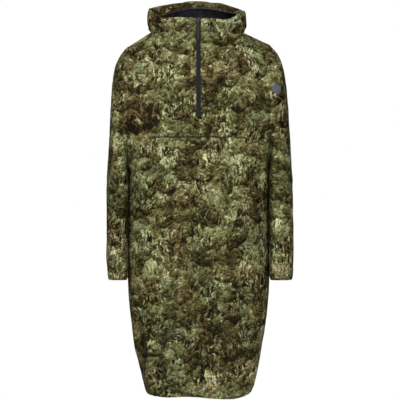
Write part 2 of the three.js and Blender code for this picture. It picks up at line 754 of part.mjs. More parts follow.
// The slider lies along the collar, and the pull hangs from its pin and just clears the chain
const collarLean = Math.atan2(centreFrontY(slider.z + 6) - centreFrontY(slider.z - 6), 12);
const sliderGroup = new THREE.Group();
sliderGroup.position.set(0, centreFrontY(slider.z) - zip.chainProud - seamGap, slider.z);
sliderGroup.rotation.x = -collarLean;
addMesh(sliderGroup, 'zip_slider', sliderGeometry(), zipBlack());
poncho.add(sliderGroup);

const pinPoint = new THREE.Vector3(0, -pinOut, 0).applyEuler(sliderGroup.rotation).add(sliderGroup.position);
const pullMesh = addMesh(poncho, 'zip_pull', pullGeometry(), zipBlack());
pullMesh.position.copy(pinPoint);
pullMesh.rotation.x = -pullLean(pinPoint);

export default poncho;
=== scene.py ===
# Rain poncho in its worn form: printed shell, lining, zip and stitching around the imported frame.
import math
import bpy
import bmesh
import numpy as np
from mathutils import Matrix, Vector
from mathutils.bvhtree import BVHTree


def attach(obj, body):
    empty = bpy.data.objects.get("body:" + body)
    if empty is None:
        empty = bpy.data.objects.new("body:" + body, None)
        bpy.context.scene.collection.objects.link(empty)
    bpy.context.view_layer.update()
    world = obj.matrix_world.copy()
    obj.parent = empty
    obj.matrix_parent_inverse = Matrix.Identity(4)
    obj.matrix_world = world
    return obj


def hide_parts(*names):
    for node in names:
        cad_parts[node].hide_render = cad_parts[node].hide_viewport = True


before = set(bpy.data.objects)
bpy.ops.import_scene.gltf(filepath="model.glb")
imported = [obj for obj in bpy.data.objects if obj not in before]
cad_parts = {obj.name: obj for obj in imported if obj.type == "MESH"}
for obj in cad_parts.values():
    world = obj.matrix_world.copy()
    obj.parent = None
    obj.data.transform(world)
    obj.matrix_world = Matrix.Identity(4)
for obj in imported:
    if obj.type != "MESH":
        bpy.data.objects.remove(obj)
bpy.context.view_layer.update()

mm = 0.001  # the tables below are in millimetres, as a pattern cutter writes them


def table(columns, *rows):
    return {name: np.array(column, float) for name, column in zip(columns.split(), zip(*rows))}


# Form of the garment, the same as its solids have

cloth = {"shell": 2.0, "lining": 1.2, "liningGap": 0.8, "seamGap": 0.3, "sideRoundness": 0.8}
neck = {"left": 138, "right": 132, "leftZ": 4.5, "rightZ": 3.5, "frontZ": -50, "backZ": 4}
armhole = {"x": 204, "topLeftZ": -36, "topRightZ": -29.5, "bottomZ": -389, "halfDepth": 112}
levels = {"sideY": 3, "yokeFrontZ": -140, "yokeBackZ": -95, "chestFrontZ": -395, "chestBackZ": -392}
hem = {"frontZ": -1042, "backZ": -1040, "leftZ": -1028, "rightZ": -1018}
climb = {"neck": 1.8, "shoulder": 1.3, "chest": 1.0, "hem": 0.5, "settlesBy": 0.2}

bodyDepths = table(
    "z front back",
    (4, -60, 78),
    (-50, -72, 97),
    (-95, -92, 110),
    (-140, -104, 117),
    (-220, -115, 122),
    (-320, -121, 124),
    (-450, -125, 125),
    (-700, -129, 127),
    (-850, -128, 124),
    (-960, -120, 116),
    (-1050, -107, 104))

bodyWidths = table(
    "z left right",
    (-389, 204, 204),
    (-440, 204.3, 204.3),
    (-560, 204.5, 204.5),
    (-680, 204.3, 204.5),
    (-757, 202, 203.5),
    (-829, 194, 196),
    (-902, 183, 184),
    (-961, 169, 174),
    (-1005, 156, 162),
    (-1040, 146, 145))

hoodRows = table(
    "left right leftZ rightZ sideY climb frontY frontZ backY backZ",
    (138, 132, 4.5, 3.5, 3, 1.8, -72, -50, 78, 4),
    (146, 137, 19, 18, 12, 1.8, -74, -24, 122, 8),
    (149, 139, 40, 40, 20, 1.8, -71, 0, 150, 42),
    (147, 137, 67, 65, 21, 1.7, -66, 21, 136, 82),
    (138, 131, 78, 74, 14, 1.6, -62, 34, 84, 102.5),
    (116, 117, 47.5, 60, 3, 2.2, -58, 41.5, 28, 80))

sleeveRings = table(
    "leftX leftZ rightX rightZ innerX innerZ depth y round slant",
    (204, -36, 204, -29.5, 204, -389, 112, 3, 1, 0),
    (224, -60, 229, -57, 204.8, -394, 112, 3, 0.97, 2),
    (240, -93, 246, -99, 205.4, -400, 111, 3, 0.94, 5),
    (247, -137, 253, -145, 205.9, -407, 109, 2, 0.9, 9),
    (252, -190, 258, -192, 206.3, -415, 106, 1, 0.87, 12),
    (256, -250, 261.5, -255, 206.7, -425, 102, 0, 0.84, 15),
    (260, -320, 266, -322, 207, -437, 97, -1, 0.82, 17),
    (263.5, -392, 270, -392, 207.3, -455, 92, -2, 0.8, 18),
    (265, -462, 273, -466, 207.5, -492, 88, -4, 0.8, 19),
    (265.5, -535, 274.5, -540, 207.6, -545, 85, -7, 0.8, 18),
    (266, -600, 274.5, -605, 207.6, -603, 82, -10, 0.8, 18),
    (266, -645, 274, -648, 207.5, -646, 78, -12, 0.82, 19),
    (261.5, -686, 272.5, -686, 207.2, -686, 72, -14, 0.84, 19))

sleeveLean = 0.85  # the cloth leans on the body a little less than its solid does
sideFill = {"out": 4.5, "y": -36, "reach": 24}  # the front fills out beside the sleeves

zipper = {"halfWidth": 6.5, "topZ": 41, "bottomZ": -242, "chainHalfWidth": 1.6, "chainProud": 0.7,
          "sliderZ": 35, "pitch": 1.35}


def smoothAt(values, place):
    last = len(values) - 1
    start = np.clip(np.floor(place).astype(int), 0, last - 1)
    t = place - start
    a, b = values[np.maximum(start - 1, 0)], values[start]
    c, d = values[start + 1], values[np.minimum(start + 2, last)]
    return b + 0.5 * t * (c - a + t * (2 * a - 5 * b + 4 * c - d + t * (3 * (b - c) + d - a)))


def atHeight(rows, z, column):
    place = np.interp(-z, -rows["z"], np.arange(len(rows["z"])))
    return smoothAt(rows[column], place)


def lerp(a, b, t):
    return a + (b - a) * t


# Place runs 0 to 1 from the neck to the shoulder tip, to 2 at the armpit and 3 at the hem
def bodyRow(place):
    yoke, scye, skirt = (np.clip(place - k, 0, 1) for k in (0, 1, 2))
    turn = np.radians(90 - 180 * scye)
    row = {"sideY": levels["sideY"] + 0 * place, "reach": armhole["halfDepth"] * np.cos(turn)}
    for side, topZ, hemZ in (("left", armhole["topLeftZ"], hem["leftZ"]),
                             ("right", armhole["topRightZ"], hem["rightZ"])):
        z = lerp(neck[side + "Z"], topZ, yoke) - (topZ - armhole["bottomZ"]) * (1 - np.sin(turn)) / 2
        z = z + (hemZ - armhole["bottomZ"]) * skirt
        row[side + "Z"] = z
        shoulderX = lerp(neck[side], armhole["x"], yoke)
        row[side + "X"] = np.where(place <= 2, shoulderX, atHeight(bodyWidths, z, side))
    for face, neckZ, yokeZ, chestZ in (("front", neck["frontZ"], levels["yokeFrontZ"], levels["chestFrontZ"]),
                                       ("back", neck["backZ"], levels["yokeBackZ"], levels["chestBackZ"])):
        z = neckZ + (yokeZ - neckZ) * yoke + (chestZ - yokeZ) * scye + (hem[face + "Z"] - chestZ) * skirt
        row[face + "Z"] = z
        row[face + "Y"] = atHeight(bodyDepths, z, face)
    row["climb"] = (lerp(climb["neck"], climb["shoulder"], yoke)
                    + (climb["chest"] - climb["shoulder"]) * np.minimum(scye / climb["settlesBy"], 1)
                    + (climb["hem"] - climb["chest"]) * skirt)
    return row


# Place runs 0 to 1 from the neck seam to the edge of the mouth
def hoodRow(place):
    at = {name: smoothAt(column, place * (len(column) - 1)) for name, column in hoodRows.items()}
    return {"leftX": at.pop("left"), "rightX": at.pop("right"), "reach": 0 * place, **at}


# Share is the distance from the centre as a part of the half width, below 0 on the left of the picture
def rowPoint(row, face, share):
    left = share < 0
    endX, endZ = (np.where(left, row["left" + k], row["right" + k]) for k in "XZ")
    depth = row[face + "Y"] - row["sideY"]
    endCos = np.minimum(row["reach"] / np.abs(depth), 0.98) ** (1 / cloth["sideRoundness"])
    sine = np.minimum(np.abs(share), 1) ** (1 / cloth["sideRoundness"]) * np.sqrt(1 - endCos ** 2)
    cosine = np.sqrt(np.maximum(1 - sine ** 2, 0))
    climbed = (np.maximum(cosine - endCos, 0) / (1 - endCos)) ** row["climb"]
    return np.stack(np.broadcast_arrays(share * endX, row["sideY"] + depth * cosine ** cloth["sideRoundness"],
                                        endZ + (row[face + "Z"] - endZ) * climbed), axis=-1)


# Place is counted in rings; turn is 0 outside, 90 at the front and 180 under the arm
def sleevePoint(side, place, turn):
    at = {name: smoothAt(column, place) for name, column in sleeveRings.items()}
    sign = -1 if side == "left" else 1
    cosine, sine = np.cos(np.radians(turn)), np.sin(np.radians(turn))
    along = 0.5 + 0.5 * np.sign(cosine) * np.abs(cosine) ** at["round"]
    across = np.sign(sine) * np.abs(sine) ** at["round"]
    x = lerp(at["innerX"], at[side + "X"], along) - sleeveLean * at["slant"] * across * (1 - along)
    return np.stack(np.broadcast_arrays(sign * x,
                                        at["y"] - at["depth"] * across,
                                        lerp(at["innerZ"], at[side + "Z"], along)), axis=-1)


def solve(low, high, above):
    for _ in range(40):
        middle = (low + high) / 2
        up = above(middle)
        low, high = np.where(up, middle, low), np.where(up, high, middle)
    return low


# The point of the front that shows at x and z
def frontAt(x, z):
    x, z = np.broadcast_arrays(np.asarray(x, float), np.asarray(z, float))

    def point(place):
        row = bodyRow(place)
        return rowPoint(row, "front", x / np.where(x < 0, row["leftX"], row["rightX"]))
    return point(solve(0 * z, 3 + 0 * z, lambda place: point(place)[..., 2] > z))


# Depth of the centre front, on the body or on the collar part of the hood
def centreY(z):
    z = np.asarray(z, float)
    place = solve(0 * z, 1 + 0 * z, lambda p: hoodRow(p)["frontZ"] < z)
    onBody = frontAt(0 * z, np.minimum(z, neck["frontZ"]))[..., 1]
    return np.where(z <= neck["frontZ"], onBody, hoodRow(place)["frontY"])


# Folds. Each runs between two points of a piece's own cloth coordinates, in millimetres: a trough with a
# softer ridge on one side of it, deepest in its middle, bowed sideways by bow.

frontFolds = table(
    "x0 z0 x1 z1 width depth bow",
    (196, -480, 120, -560, 30, 7, 0),
    (-60, -700, -95, -960, 34, 6, 0),
    (70, -760, 100, -1000, 36, 7, 0),
    (-168, -750, -158, -990, 9, 11, 3),
    (190, -392, 192, -486, 9, -6, 4),
    (-198, -330, -120, -420, 13, 4.5, -8),
    (-196, -420, -140, -520, 16, 4, 10),
    (198, -340, 132, -452, 12, 5, 9),
    (192, -520, 150, -640, 15, 4, -9),
    (-186, -88, -128, -172, 15, 3.5, 8),
    (188, -84, 140, -160, 14, 3.2, -8),
    (-112, -52, -96, -128, 12, 3, -4),
    (104, -50, 92, -132, 12, 3, 5),
    (-20, -560, 12, -760, 26, 3, -10),
    (128, -690, 150, -930, 20, 4, 12),
    (-118, -820, -108, -1010, 16, 3.5, -7),
    (8, -880, 22, -1040, 24, 4, 6),
    (-38, -930, -50, -1044, 18, 3, -4),
    (60, -440, 30, -540, 22, 2.5, 8))

# Folds of the collar and the top of the front, across the neck seam
collarFolds = table(
    "x0 z0 x1 z1 width depth bow",
    (-134, 14, -96, 6, 9, 15, 2),
    (128, 14, 92, 2, 9, 15, -2),
    (-114, 20, -84, 33, 6, 7, -3),
    (-96, 8, -74, -10, 7, 6, 2),
    (44, 40, 96, -20, 7, 10, -4),
    (112, 36, 82, -4, 6, 9, 3),
    (86, -8, 112, -52, 9, 6, 0),
    (-34, 40, -22, -24, 8, 4, 2),
    (24, 38, 38, -8, 8, 4, -2),
    (-72, 2, -58, -76, 11, 5, 4),
    (62, -40, 52, -104, 12, 5, -4))

backFolds = table(
    "x0 z0 x1 z1 width depth bow",
    (-70, -520, -100, -900, 38, 7, 0),
    (85, -600, 60, -980, 38, 6, 0),
    (-185, -470, -110, -420, 30, 6, 0),
    (192, -400, 118, -468, 14, 5, -8),
    (-196, -350, -126, -300, 12, 4, 6),
    (190, -300, 130, -236, 13, 4, -7),
    (-30, -70, -62, -190, 20, 4, 10),
    (36, -66, 58, -176, 18, 4, -9),
    (-8, -120, 4, -330, 26, 4, 6),
    (-150, -640, -138, -860, 20, 4, 8),
    (150, -700, 138, -960, 18, 4, -8),
    (-20, -780, -12, -1030, 26, 4, -6),
    (108, -860, 100, -1035, 16, 3.5, 5),
    (-112, -900, -104, -1036, 16, 3.5, -5))

# Round a sleeve, u is 1.1 mm for each degree of turn and v is the height
sleeveFolds = table(
    "x0 z0 x1 z1 width depth bow",
    (150, -410, 84, -452, 9, 4, 6),
    (140, -440, 60, -500, 10, 3.5, -7),
    (120, -500, 40, -540, 9, 3, 5),
    (90, -300, 104, -420, 12, 3, -6),
    (20, -380, 66, -430, 12, 3, 6),
    (-60, -400, -130, -446, 10, 4, -6),
    (-48, -470, -120, -520, 10, 3.5, 6),
    (-90, -560, -30, -610, 11, 3, -5),
    (60, -590, 122, -620, 10, 2.8, 5),
    (30, -640, 84, -668, 8, 2.2, -3),
    (88, -120, 60, -230, 14, 3, 7),
    (-84, -110, -62, -240, 14, 3, -7))

# Round the hood, u is 1.9 mm for each degree from the front and v is 230 mm from neck to mouth
hoodFolds = table(
    "x0 z0 x1 z1 width depth bow",
    (-172, 226, -146, 178, 5, 4.5, 0),
    (172, 226, 150, 180, 5, 3.5, 0),
    (-196, 20, -150, 76, 8, 5, 4),
    (198, 22, 152, 80, 8, 5, -4),
    (-186, 60, -190, 150, 10, 3.5, 5),
    (186, 66, 194, 146, 10, 3.5, -5),
    (-250, 20, -232, 120, 18, 6, 8),
    (262, 24, 240, 126, 17, 6, -8),
    (-318, 10, -300, 110, 18, 6, 5),
    (330, 16, 312, 120, 18, 5, -5),
    (-230, 214, -290, 180, 7, 3, -4),
    (236, 212, 300, 184, 7, 3, 4),
    (-60, 224, -130, 214, 5, 2, 1))

# Seen from the front through the mouth, on the lining
liningFolds = table(
    "x0 z0 x1 z1 width depth bow",
    (0, 88, -4, 20, 5, 9, 0),
    (-16, 88, -58, 24, 6, 9, 4),
    (14, 88, 50, 24, 6, 9, -4),
    (50, 84, 92, 34, 6, 8, -3),
    (-60, 80, -100, 34, 6, 8, 3),
    (28, 84, 32, 20, 5, 7, 2))


# Height of the folds over the smooth cloth, below 0 in their troughs
def foldRelief(folds, u, v):
    relief = np.zeros(np.broadcast(u, v).shape)
    for x0, z0, x1, z1, width, depth, bow in zip(*(folds[k] for k in "x0 z0 x1 z1 width depth bow".split())):
        length = math.hypot(x1 - x0, z1 - z0)
        ax, az = (x1 - x0) / length, (z1 - z0) / length
        along = ((u - x0) * ax + (v - z0) * az) / length
        across = (u - x0) * az - (v - z0) * ax - bow * 4 * along * (1 - along)
        fade = np.clip(1.15 - np.abs(along - 0.5) / 0.62, 0, 1) ** 1.5
        trough = np.exp(-(across / width) ** 2)
        ridge = 0.42 * np.exp(-((across - 1.7 * width) / width) ** 2)
        relief -= depth * fade * (trough - ridge)
    return relief


# How much painted shade darkens the cloth's colour in the depth of its folds
def paintedShade(relief):
    return 0.62 * np.clip(-relief / 9, 0, 1) ** 0.9


# The slight waviness that coated cloth keeps
def unevenness(points, seed):
    rng = np.random.default_rng(seed)
    relief = np.zeros(points.shape[:-1])
    for wavelength, height, count in ((150, 0.9, 5), (62, 0.5, 6), (27, 0.18, 6)):
        for _ in range(count):
            direction = rng.normal(size=3)
            direction /= np.linalg.norm(direction) * wavelength / (2 * np.pi)
            relief += height * np.sin(points @ direction + rng.uniform(0, 6.28)) / math.sqrt(count)
    return relief


def gridNormals(skin, closed):
    across = np.roll(skin, -1, 1) - np.roll(skin, 1, 1)
    if not closed:
        across[:, 0], across[:, -1] = skin[:, 1] - skin[:, 0], skin[:, -1] - skin[:, -2]
    down = np.gradient(skin, axis=0)
    normals = np.cross(down, across)
    return normals / np.maximum(np.linalg.norm(normals, axis=2, keepdims=True), 1e-9)


# Length along the cloth from the middle column and from the first row, for the print and the weave
def distances(skin):
    step = np.linalg.norm(np.diff(skin, axis=1), axis=2)
    u = np.concatenate([np.zeros((len(skin), 1)), np.cumsum(step, axis=1)], axis=1)
    u -= u[:, u.shape[1] // 2][:, None]
    drop = np.linalg.norm(np.diff(skin, axis=0), axis=2).mean(axis=1)
    v = -np.concatenate([[0], np.cumsum(drop)])[:, None] + 0 * u
    return np.stack([u, v], axis=-1)


# A thin closed shell from the grid of its outer points, with looks for its face, back and edges, and dark as
# painted shade on its corners
def clothWall(name, skin, looks, wall, closed=False, keep=None, shift=(0, 0), dark=None):
    rows, columns = skin.shape[:2]
    normals = gridNormals(skin, closed)
    wall = np.broadcast_to(np.asarray(wall, float), (rows, columns))
    inner = skin - normals * wall[..., None]
    points = np.concatenate([skin.reshape(-1, 3), inner.reshape(-1, 3)]) * mm
    wide = skin if not closed else np.concatenate([skin, skin[:, :1]], axis=1)
    uv = distances(wide) * mm + np.array(shift)
    width = columns if closed else columns - 1
    there = np.ones((rows - 1, width), bool) if keep is None else keep
    dark = np.zeros((rows, columns)) if dark is None else np.broadcast_to(dark, (rows, columns))
    faces, corners, slots, paintedShades = [], [], [], []

    def add(quad, look):
        faces.append([layer * rows * columns + i * columns + j % columns for layer, i, j in quad])
        corners.extend(uv[i, j] for _, i, j in quad)
        paintedShades.extend(dark[i, j % columns] for _, i, j in quad)
        slots.append(look)

    def missing(i, j):
        if not 0 <= i < rows - 1:
            return True
        if closed:
            return not there[i, j % width]
        return not 0 <= j < width or not there[i, j]

    for i in range(rows - 1):
        for j in range(width):
            if not there[i, j]:
                continue
            add([(0, i, j), (0, i + 1, j), (0, i + 1, j + 1), (0, i, j + 1)], 0)
            add([(1, i, j), (1, i, j + 1), (1, i + 1, j + 1), (1, i + 1, j)], 1)
            if missing(i - 1, j):
                add([(0, i, j), (0, i, j + 1), (1, i, j + 1), (1, i, j)], 0)
            if missing(i + 1, j):
                add([(0, i + 1, j + 1), (0, i + 1, j), (1, i + 1, j), (1, i + 1, j + 1)], 0)
            if missing(i, j - 1):
                add([(0, i + 1, j), (0, i, j), (1, i, j), (1, i + 1, j)], 0)
            if missing(i, j + 1):
                add([(0, i, j + 1), (0, i + 1, j + 1), (1, i + 1, j + 1), (1, i, j + 1)], 0)
    return meshPiece(name, points, faces, looks, slots, corners, paintedShades)


def meshPiece(name, points, faces, looks, slots=None, corners=None, paintedShades=None):
    mesh = bpy.data.meshes.new(name)
    mesh.from_pydata([tuple(p) for p in points], [], faces)
    for look in looks:
        mesh.materials.append(look)
    if slots is not None:
        mesh.polygons.foreach_set("material_index", slots)
    if corners is not None:
        layer = mesh.uv_layers.new(name="cloth")
        layer.data.foreach_set("uv", np.array(corners, float).ravel())
    # Painted shade for each corner, read by the print's material
    if paintedShades is not None:
        mesh.attributes.new("paintedShade", "FLOAT", "CORNER").data.foreach_set("value", paintedShades)
    mesh.polygons.foreach_set("use_smooth", [True] * len(mesh.polygons))
    mesh.update()
    mesh.set_sharp_from_angle(angle=math.radians(50))
    piece = bpy.data.objects.new(name, mesh)
    bpy.context.scene.collection.objects.link(piece)
    dropLoose(piece)
    return piece


# Points of the grid that no face uses, as in the zip's slot
def dropLoose(piece):
    work = bmesh.new()
    work.from_mesh(piece.data)
    bmesh.ops.delete(work, geom=[v for v in work.verts if not v.link_faces], context="VERTS")
    work.to_mesh(piece.data)
    work.free()


# Materials


def newMaterial(name, **inputs):
    material = bpy.data.materials.new(name)
    material.use_nodes = True
    shader = material.node_tree.nodes["Principled BSDF"]
    for key, value in inputs.items():
        shader.inputs[key.replace("_", " ")].default_value = value
    return material, material.node_tree, shader


def node(tree, kind, label="", **settings):
    made = tree.nodes.new(kind)
    made.label = label
    for key, value in settings.items():
        if key in made.inputs:
            made.inputs[key].default_value = value
        else:
            setattr(made, key, value)
    return made


def ramp(tree, stops, source):
    made = tree.nodes.new("ShaderNodeValToRGB")
    for index, (place, colour) in enumerate(stops):
        if index < 2:
            element = made.color_ramp.elements[index]
            element.position = place
        else:
            element = made.color_ramp.elements.new(place)
        element.color = colour
    tree.links.new(source, made.inputs[0])
    return made.outputs["Color"]


def calc(tree, operation, *values):
    made = tree.nodes.new("ShaderNodeMath")
    made.operation = operation
    for index, value in enumerate(values):
        if isinstance(value, (int, float)):
            made.inputs[index].default_value = value
        else:
            tree.links.new(value, made.inputs[index])
    return made.outputs[0]


# Linear colour of an sRGB code
def hexColour(code):
    parts = [int(code[i:i + 2], 16) / 255 for i in (0, 2, 4)]
    return tuple(p / 12.92 if p <= 0.04045 else ((p + 0.055) / 1.055) ** 2.4 for p in parts) + (1,)


printDesign = {
    "pull": (14, 0.024),       # broad pull: patches to a metre and how far, in metres
    "ragged": (75, 0.0075),    # ragged edges of the leaves
    "clumps": 15,              # clumps to a metre
    "crowns": 25,              # rounded bushes to a metre
    "leaves": (105, 250),      # large and small leaves to a metre
    "blades": (230, 0.24),     # upright blades to a metre, and their height scale
    "middle": 0.445,
    "inks": ("14120a", "262111", "3f3820", "58523a", "6a6c4e", "82846a", "a0a288", "c2c3ae"),
    "broad": (4.4, 0.55),      # broad lighter and darker areas to a metre, and their strength
    "places": (0.0, 0.16, 0.32, 0.47, 0.6, 0.73, 0.87, 1.0),
}


# Moves the coordinates about by a soft noise
def pulledBy(tree, vector, scale, reach):
    noise = node(tree, "ShaderNodeTexNoise", "pull", Scale=float(scale), Detail=2.0)
    tree.links.new(vector, noise.inputs["Vector"])
    centred = node(tree, "ShaderNodeVectorMath", operation="SUBTRACT")
    tree.links.new(noise.outputs["Color"], centred.inputs[0])
    centred.inputs[1].default_value = (0.5, 0.5, 0.5)
    moved = node(tree, "ShaderNodeVectorMath", operation="MULTIPLY_ADD")
    tree.links.new(centred.outputs[0], moved.inputs[0])
    moved.inputs[1].default_value = (reach * 2,) * 3
    tree.links.new(vector, moved.inputs[2])
    return moved.outputs[0]


def noiseAt(tree, vector, scale, detail, label, roughness=0.55):
    noise = node(tree, "ShaderNodeTexNoise", label, Scale=float(scale), Detail=detail, Roughness=roughness)
    tree.links.new(vector, noise.inputs["Vector"])
    return noise.outputs["Fac"]


# Cells of a Voronoi pattern: three random values of each, its distance output and the offset from its middle
def cellsAt(tree, vector, scale, label, stretch=(1, 1, 1)):
    mapping = node(tree, "ShaderNodeMapping", label)
    mapping.inputs["Scale"].default_value = stretch
    tree.links.new(vector, mapping.inputs["Vector"])
    cells = node(tree, "ShaderNodeTexVoronoi", label, Scale=float(scale), Randomness=1.0)
    tree.links.new(mapping.outputs[0], cells.inputs["Vector"])
    random = node(tree, "ShaderNodeSeparateColor")
    tree.links.new(cells.outputs["Color"], random.inputs[0])
    offset = node(tree, "ShaderNodeVectorMath", operation="SUBTRACT")
    tree.links.new(mapping.outputs[0], offset.inputs[0])
    tree.links.new(cells.outputs["Position"], offset.inputs[1])
    parts = node(tree, "ShaderNodeSeparateXYZ")
    tree.links.new(offset.outputs[0], parts.inputs[0])
    return random.outputs, cells.outputs["Distance"], parts.outputs


# An all-over leafy woodland mottle on matt waterproof cloth
def printedShell():
    material, tree, shader = newMaterial("printedShell", Roughness=0.72, Specular_IOR_Level=0.05)
    link = tree.links.new
    place = node(tree, "ShaderNodeTexCoord").outputs["Object"]
    flow = pulledBy(tree, place, *printDesign["pull"])
    ragged = pulledBy(tree, flow, *printDesign["ragged"])

    clumps = noiseAt(tree, flow, printDesign["clumps"], 3.0, "clumps")
    tone = calc(tree, "MULTIPLY_ADD", calc(tree, "SUBTRACT", clumps, 0.5), 0.85, printDesign["middle"])

    scale, strength = printDesign["broad"]
    broad = noiseAt(tree, place, scale, 1.0, "broad")
    tone = calc(tree, "ADD", tone, calc(tree, "MULTIPLY_ADD", broad, strength, -strength / 2))

    # Bushes: each has a tone of its own, a lit top and a dark foot
    bush, away, offset = cellsAt(tree, ragged, printDesign["crowns"], "bushes")
    tone = calc(tree, "ADD", tone, calc(tree, "MULTIPLY", offset[2], 6.5))
    tone = calc(tree, "ADD", tone, calc(tree, "MULTIPLY_ADD", bush[0], 0.26, -0.13))
    tone = calc(tree, "ADD", tone, calc(tree, "MULTIPLY_ADD", away, -0.22, 0.1))

    # Leaves of two sizes
    for scale, strength in zip(printDesign["leaves"], (0.34, 0.34)):
        leaf, _, leafOffset = cellsAt(tree, ragged, scale, "leaves")
        tone = calc(tree, "ADD", tone, calc(tree, "MULTIPLY_ADD", leaf[0], strength, -strength / 2))
        tone = calc(tree, "ADD", tone, calc(tree, "MULTIPLY", leafOffset[2], scale * strength * 0.5))

    # Upright blades, light ones and dark ones, in some of the clumps
    grassy = noiseAt(tree, place, 19, 2.0, "grassy")
    grassy = calc(tree, "MULTIPLY", calc(tree, "SUBTRACT", grassy, 0.46), 9.0)
    grassy.node.use_clamp = True
    scale, height = printDesign["blades"]
    blade, _, _ = cellsAt(tree, ragged, scale, "blades", (1, 1, height))
    for random, sign in ((blade[0], 0.32), (blade[1], -0.4)):
        there = calc(tree, "GREATER_THAN", random, 0.74)
        tone = calc(tree, "ADD", tone, calc(tree, "MULTIPLY", calc(tree, "MULTIPLY", there, grassy), sign))
    inks = [(at, hexColour(ink)) for at, ink in zip(printDesign["places"], printDesign["inks"])]
    colour = ramp(tree, inks, tone)

    # Some bushes are browner, some yellower and some greyer than the rest
    hue = calc(tree, "ADD", calc(tree, "MULTIPLY", bush[1], 0.22),
               calc(tree, "MULTIPLY", noiseAt(tree, place, 8, 2.0, "hue"), 0.78))
    tint = ramp(tree, [(0.28, hexColour("d9b48c")), (0.42, hexColour("fff3d2")), (0.55, hexColour("f2f6c4")),
                       (0.7, hexColour("ccd6bf"))], hue)
    mixed = node(tree, "ShaderNodeMix", data_type="RGBA", blend_type="MULTIPLY")
    mixed.inputs["Factor"].default_value = 0.75
    link(colour, mixed.inputs["A"])
    link(tint, mixed.inputs["B"])
    # Painted shade: the corner attribute mixes the print toward near-black in folds, on the sides of the body
    # and beside the sleeves
    dark = node(tree, "ShaderNodeAttribute", attribute_name="paintedShade").outputs["Fac"]
    paintedShadeMix = node(tree, "ShaderNodeMix", data_type="RGBA")
    paintedShadeMix.inputs["B"].default_value = (0.002, 0.0015, 0.0008, 1)
    link(dark, paintedShadeMix.inputs["Factor"])
    link(mixed.outputs["Result"], paintedShadeMix.inputs["A"])
    link(paintedShadeMix.outputs["Result"], shader.inputs["Base Color"])
    weaveCoordinates = node(tree, "ShaderNodeUVMap", uv_map="cloth").outputs[0]
    addWeave(tree, shader, weaveCoordinates, threads=1500, height=0.10, crumple=0.5)
    return material


# Crossed threads with a faint crumple below them
def addWeave(tree, shader, coordinates, threads, height, crumple):
    link = tree.links.new
    bands = []
    for direction in ("X", "Y"):
        wave = node(tree, "ShaderNodeTexWave", "threads " + direction, Scale=threads / (2 * math.pi),
                    bands_direction=direction)
        link(coordinates, wave.inputs["Vector"])
        bands.append(wave.outputs["Fac"])
    weave = calc(tree, "MULTIPLY", *bands)
    soft = node(tree, "ShaderNodeTexNoise", "crumple", Scale=70.0, Detail=3.0, Roughness=0.55)
    link(coordinates, soft.inputs["Vector"])
    low = node(tree, "ShaderNodeBump", Strength=crumple, Distance=0.0012)
    link(soft.outputs["Fac"], low.inputs["Height"])
    fine = node(tree, "ShaderNodeBump", Strength=height, Distance=0.0003)
    link(weave, fine.inputs["Height"])
    link(low.outputs[0], fine.inputs["Normal"])
    link(fine.outputs[0], shader.inputs["Normal"])


def plainCloth(name, dark, light, roughness, sheen):
    material, tree, shader = newMaterial(name, Roughness=roughness, Specular_IOR_Level=0.25, Sheen_Weight=sheen,
                                         Sheen_Roughness=0.4)
    coordinates = node(tree, "ShaderNodeTexCoord").outputs["Object"]
    mottle = node(tree, "ShaderNodeTexNoise", "shade", Scale=24.0, Detail=4.0)
    tree.links.new(coordinates, mottle.inputs["Vector"])
    colour = ramp(tree, [(0.3, hexColour(dark)), (0.72, hexColour(light))], mottle.outputs["Fac"])
    tree.links.new(colour, shader.inputs["Base Color"])
    addWeave(tree, shader, coordinates, threads=1800, height=0.12, crumple=0.4)
    return material


def moulded(name, dark, light, roughness, metallic, grain):
    material, tree, shader = newMaterial(name, Metallic=metallic, Specular_IOR_Level=0.3)
    coordinates = node(tree, "ShaderNodeTexCoord").outputs["Object"]
    speck = node(tree, "ShaderNodeTexNoise", "grain", Scale=grain, Detail=5.0)
    tree.links.new(coordinates, speck.inputs["Vector"])
    colour = ramp(tree, [(0.35, hexColour(dark)), (0.7, hexColour(light))], speck.outputs["Fac"])
    tree.links.new(colour, shader.inputs["Base Color"])
    rough = calc(tree, "MULTIPLY_ADD", speck.outputs["Fac"], 0.25, roughness - 0.12)
    tree.links.new(rough, shader.inputs["Roughness"])
    bump = node(tree, "ShaderNodeBump", Strength=0.2, Distance=0.0001)
    tree.links.new(speck.outputs["Fac"], bump.inputs["Height"])
    tree.links.new(bump.outputs[0], shader.inputs["Normal"])
    return material


shell = printedShell()
shellBack = plainCloth("shellBack", "24251f", "32332b", 0.7, 0.1)
lining = plainCloth("darkLining", "303138", "5a5b66", 0.38, 0.5)
# Near-black cloth that stands for the shade in the pocket's slit
pocketShade = plainCloth("pocketShade", "08090a", "121314", 0.8, 0.0)
tape = plainCloth("zipTape", "08090a", "121415", 0.75, 0.0)
teethPlastic = moulded("zipTeeth", "0d0e0e", "1b1e1d", 0.6, 0.0, 500)
zipMetal = moulded("zipMetal", "3c3a48", "57556a", 0.34, 0.85, 260)
pullPlastic = moulded("pullPlastic", "0c0d0e", "161719", 0.62, 0.0, 420)
thread = plainCloth("thread", "23230f", "3a3a24", 0.7, 0.2)
transferInk = moulded("transferInk", "484c58", "5c606e", 0.5, 0.1, 180)


# Body panels

panelLook = {"columns": 92, "yokeRows": 24, "armholeRows": 62, "skirtRows": 118, "seamValley": 1.8}
hemLook = {"turnUp": 22, "stitchUp": 20, "groove": 0.7, "pucker": 0.7, "puckerLength": 21, "extraWall": 1.0}
hemWave = table(
    "x lift",
    (-150, -3),
    (-128, -4),
    (-95, -5),
    (-38, -0.5),
    (0, -1.5),
    (34, -6),
    (98, -11),
    (125, -9),
    (150, -5))


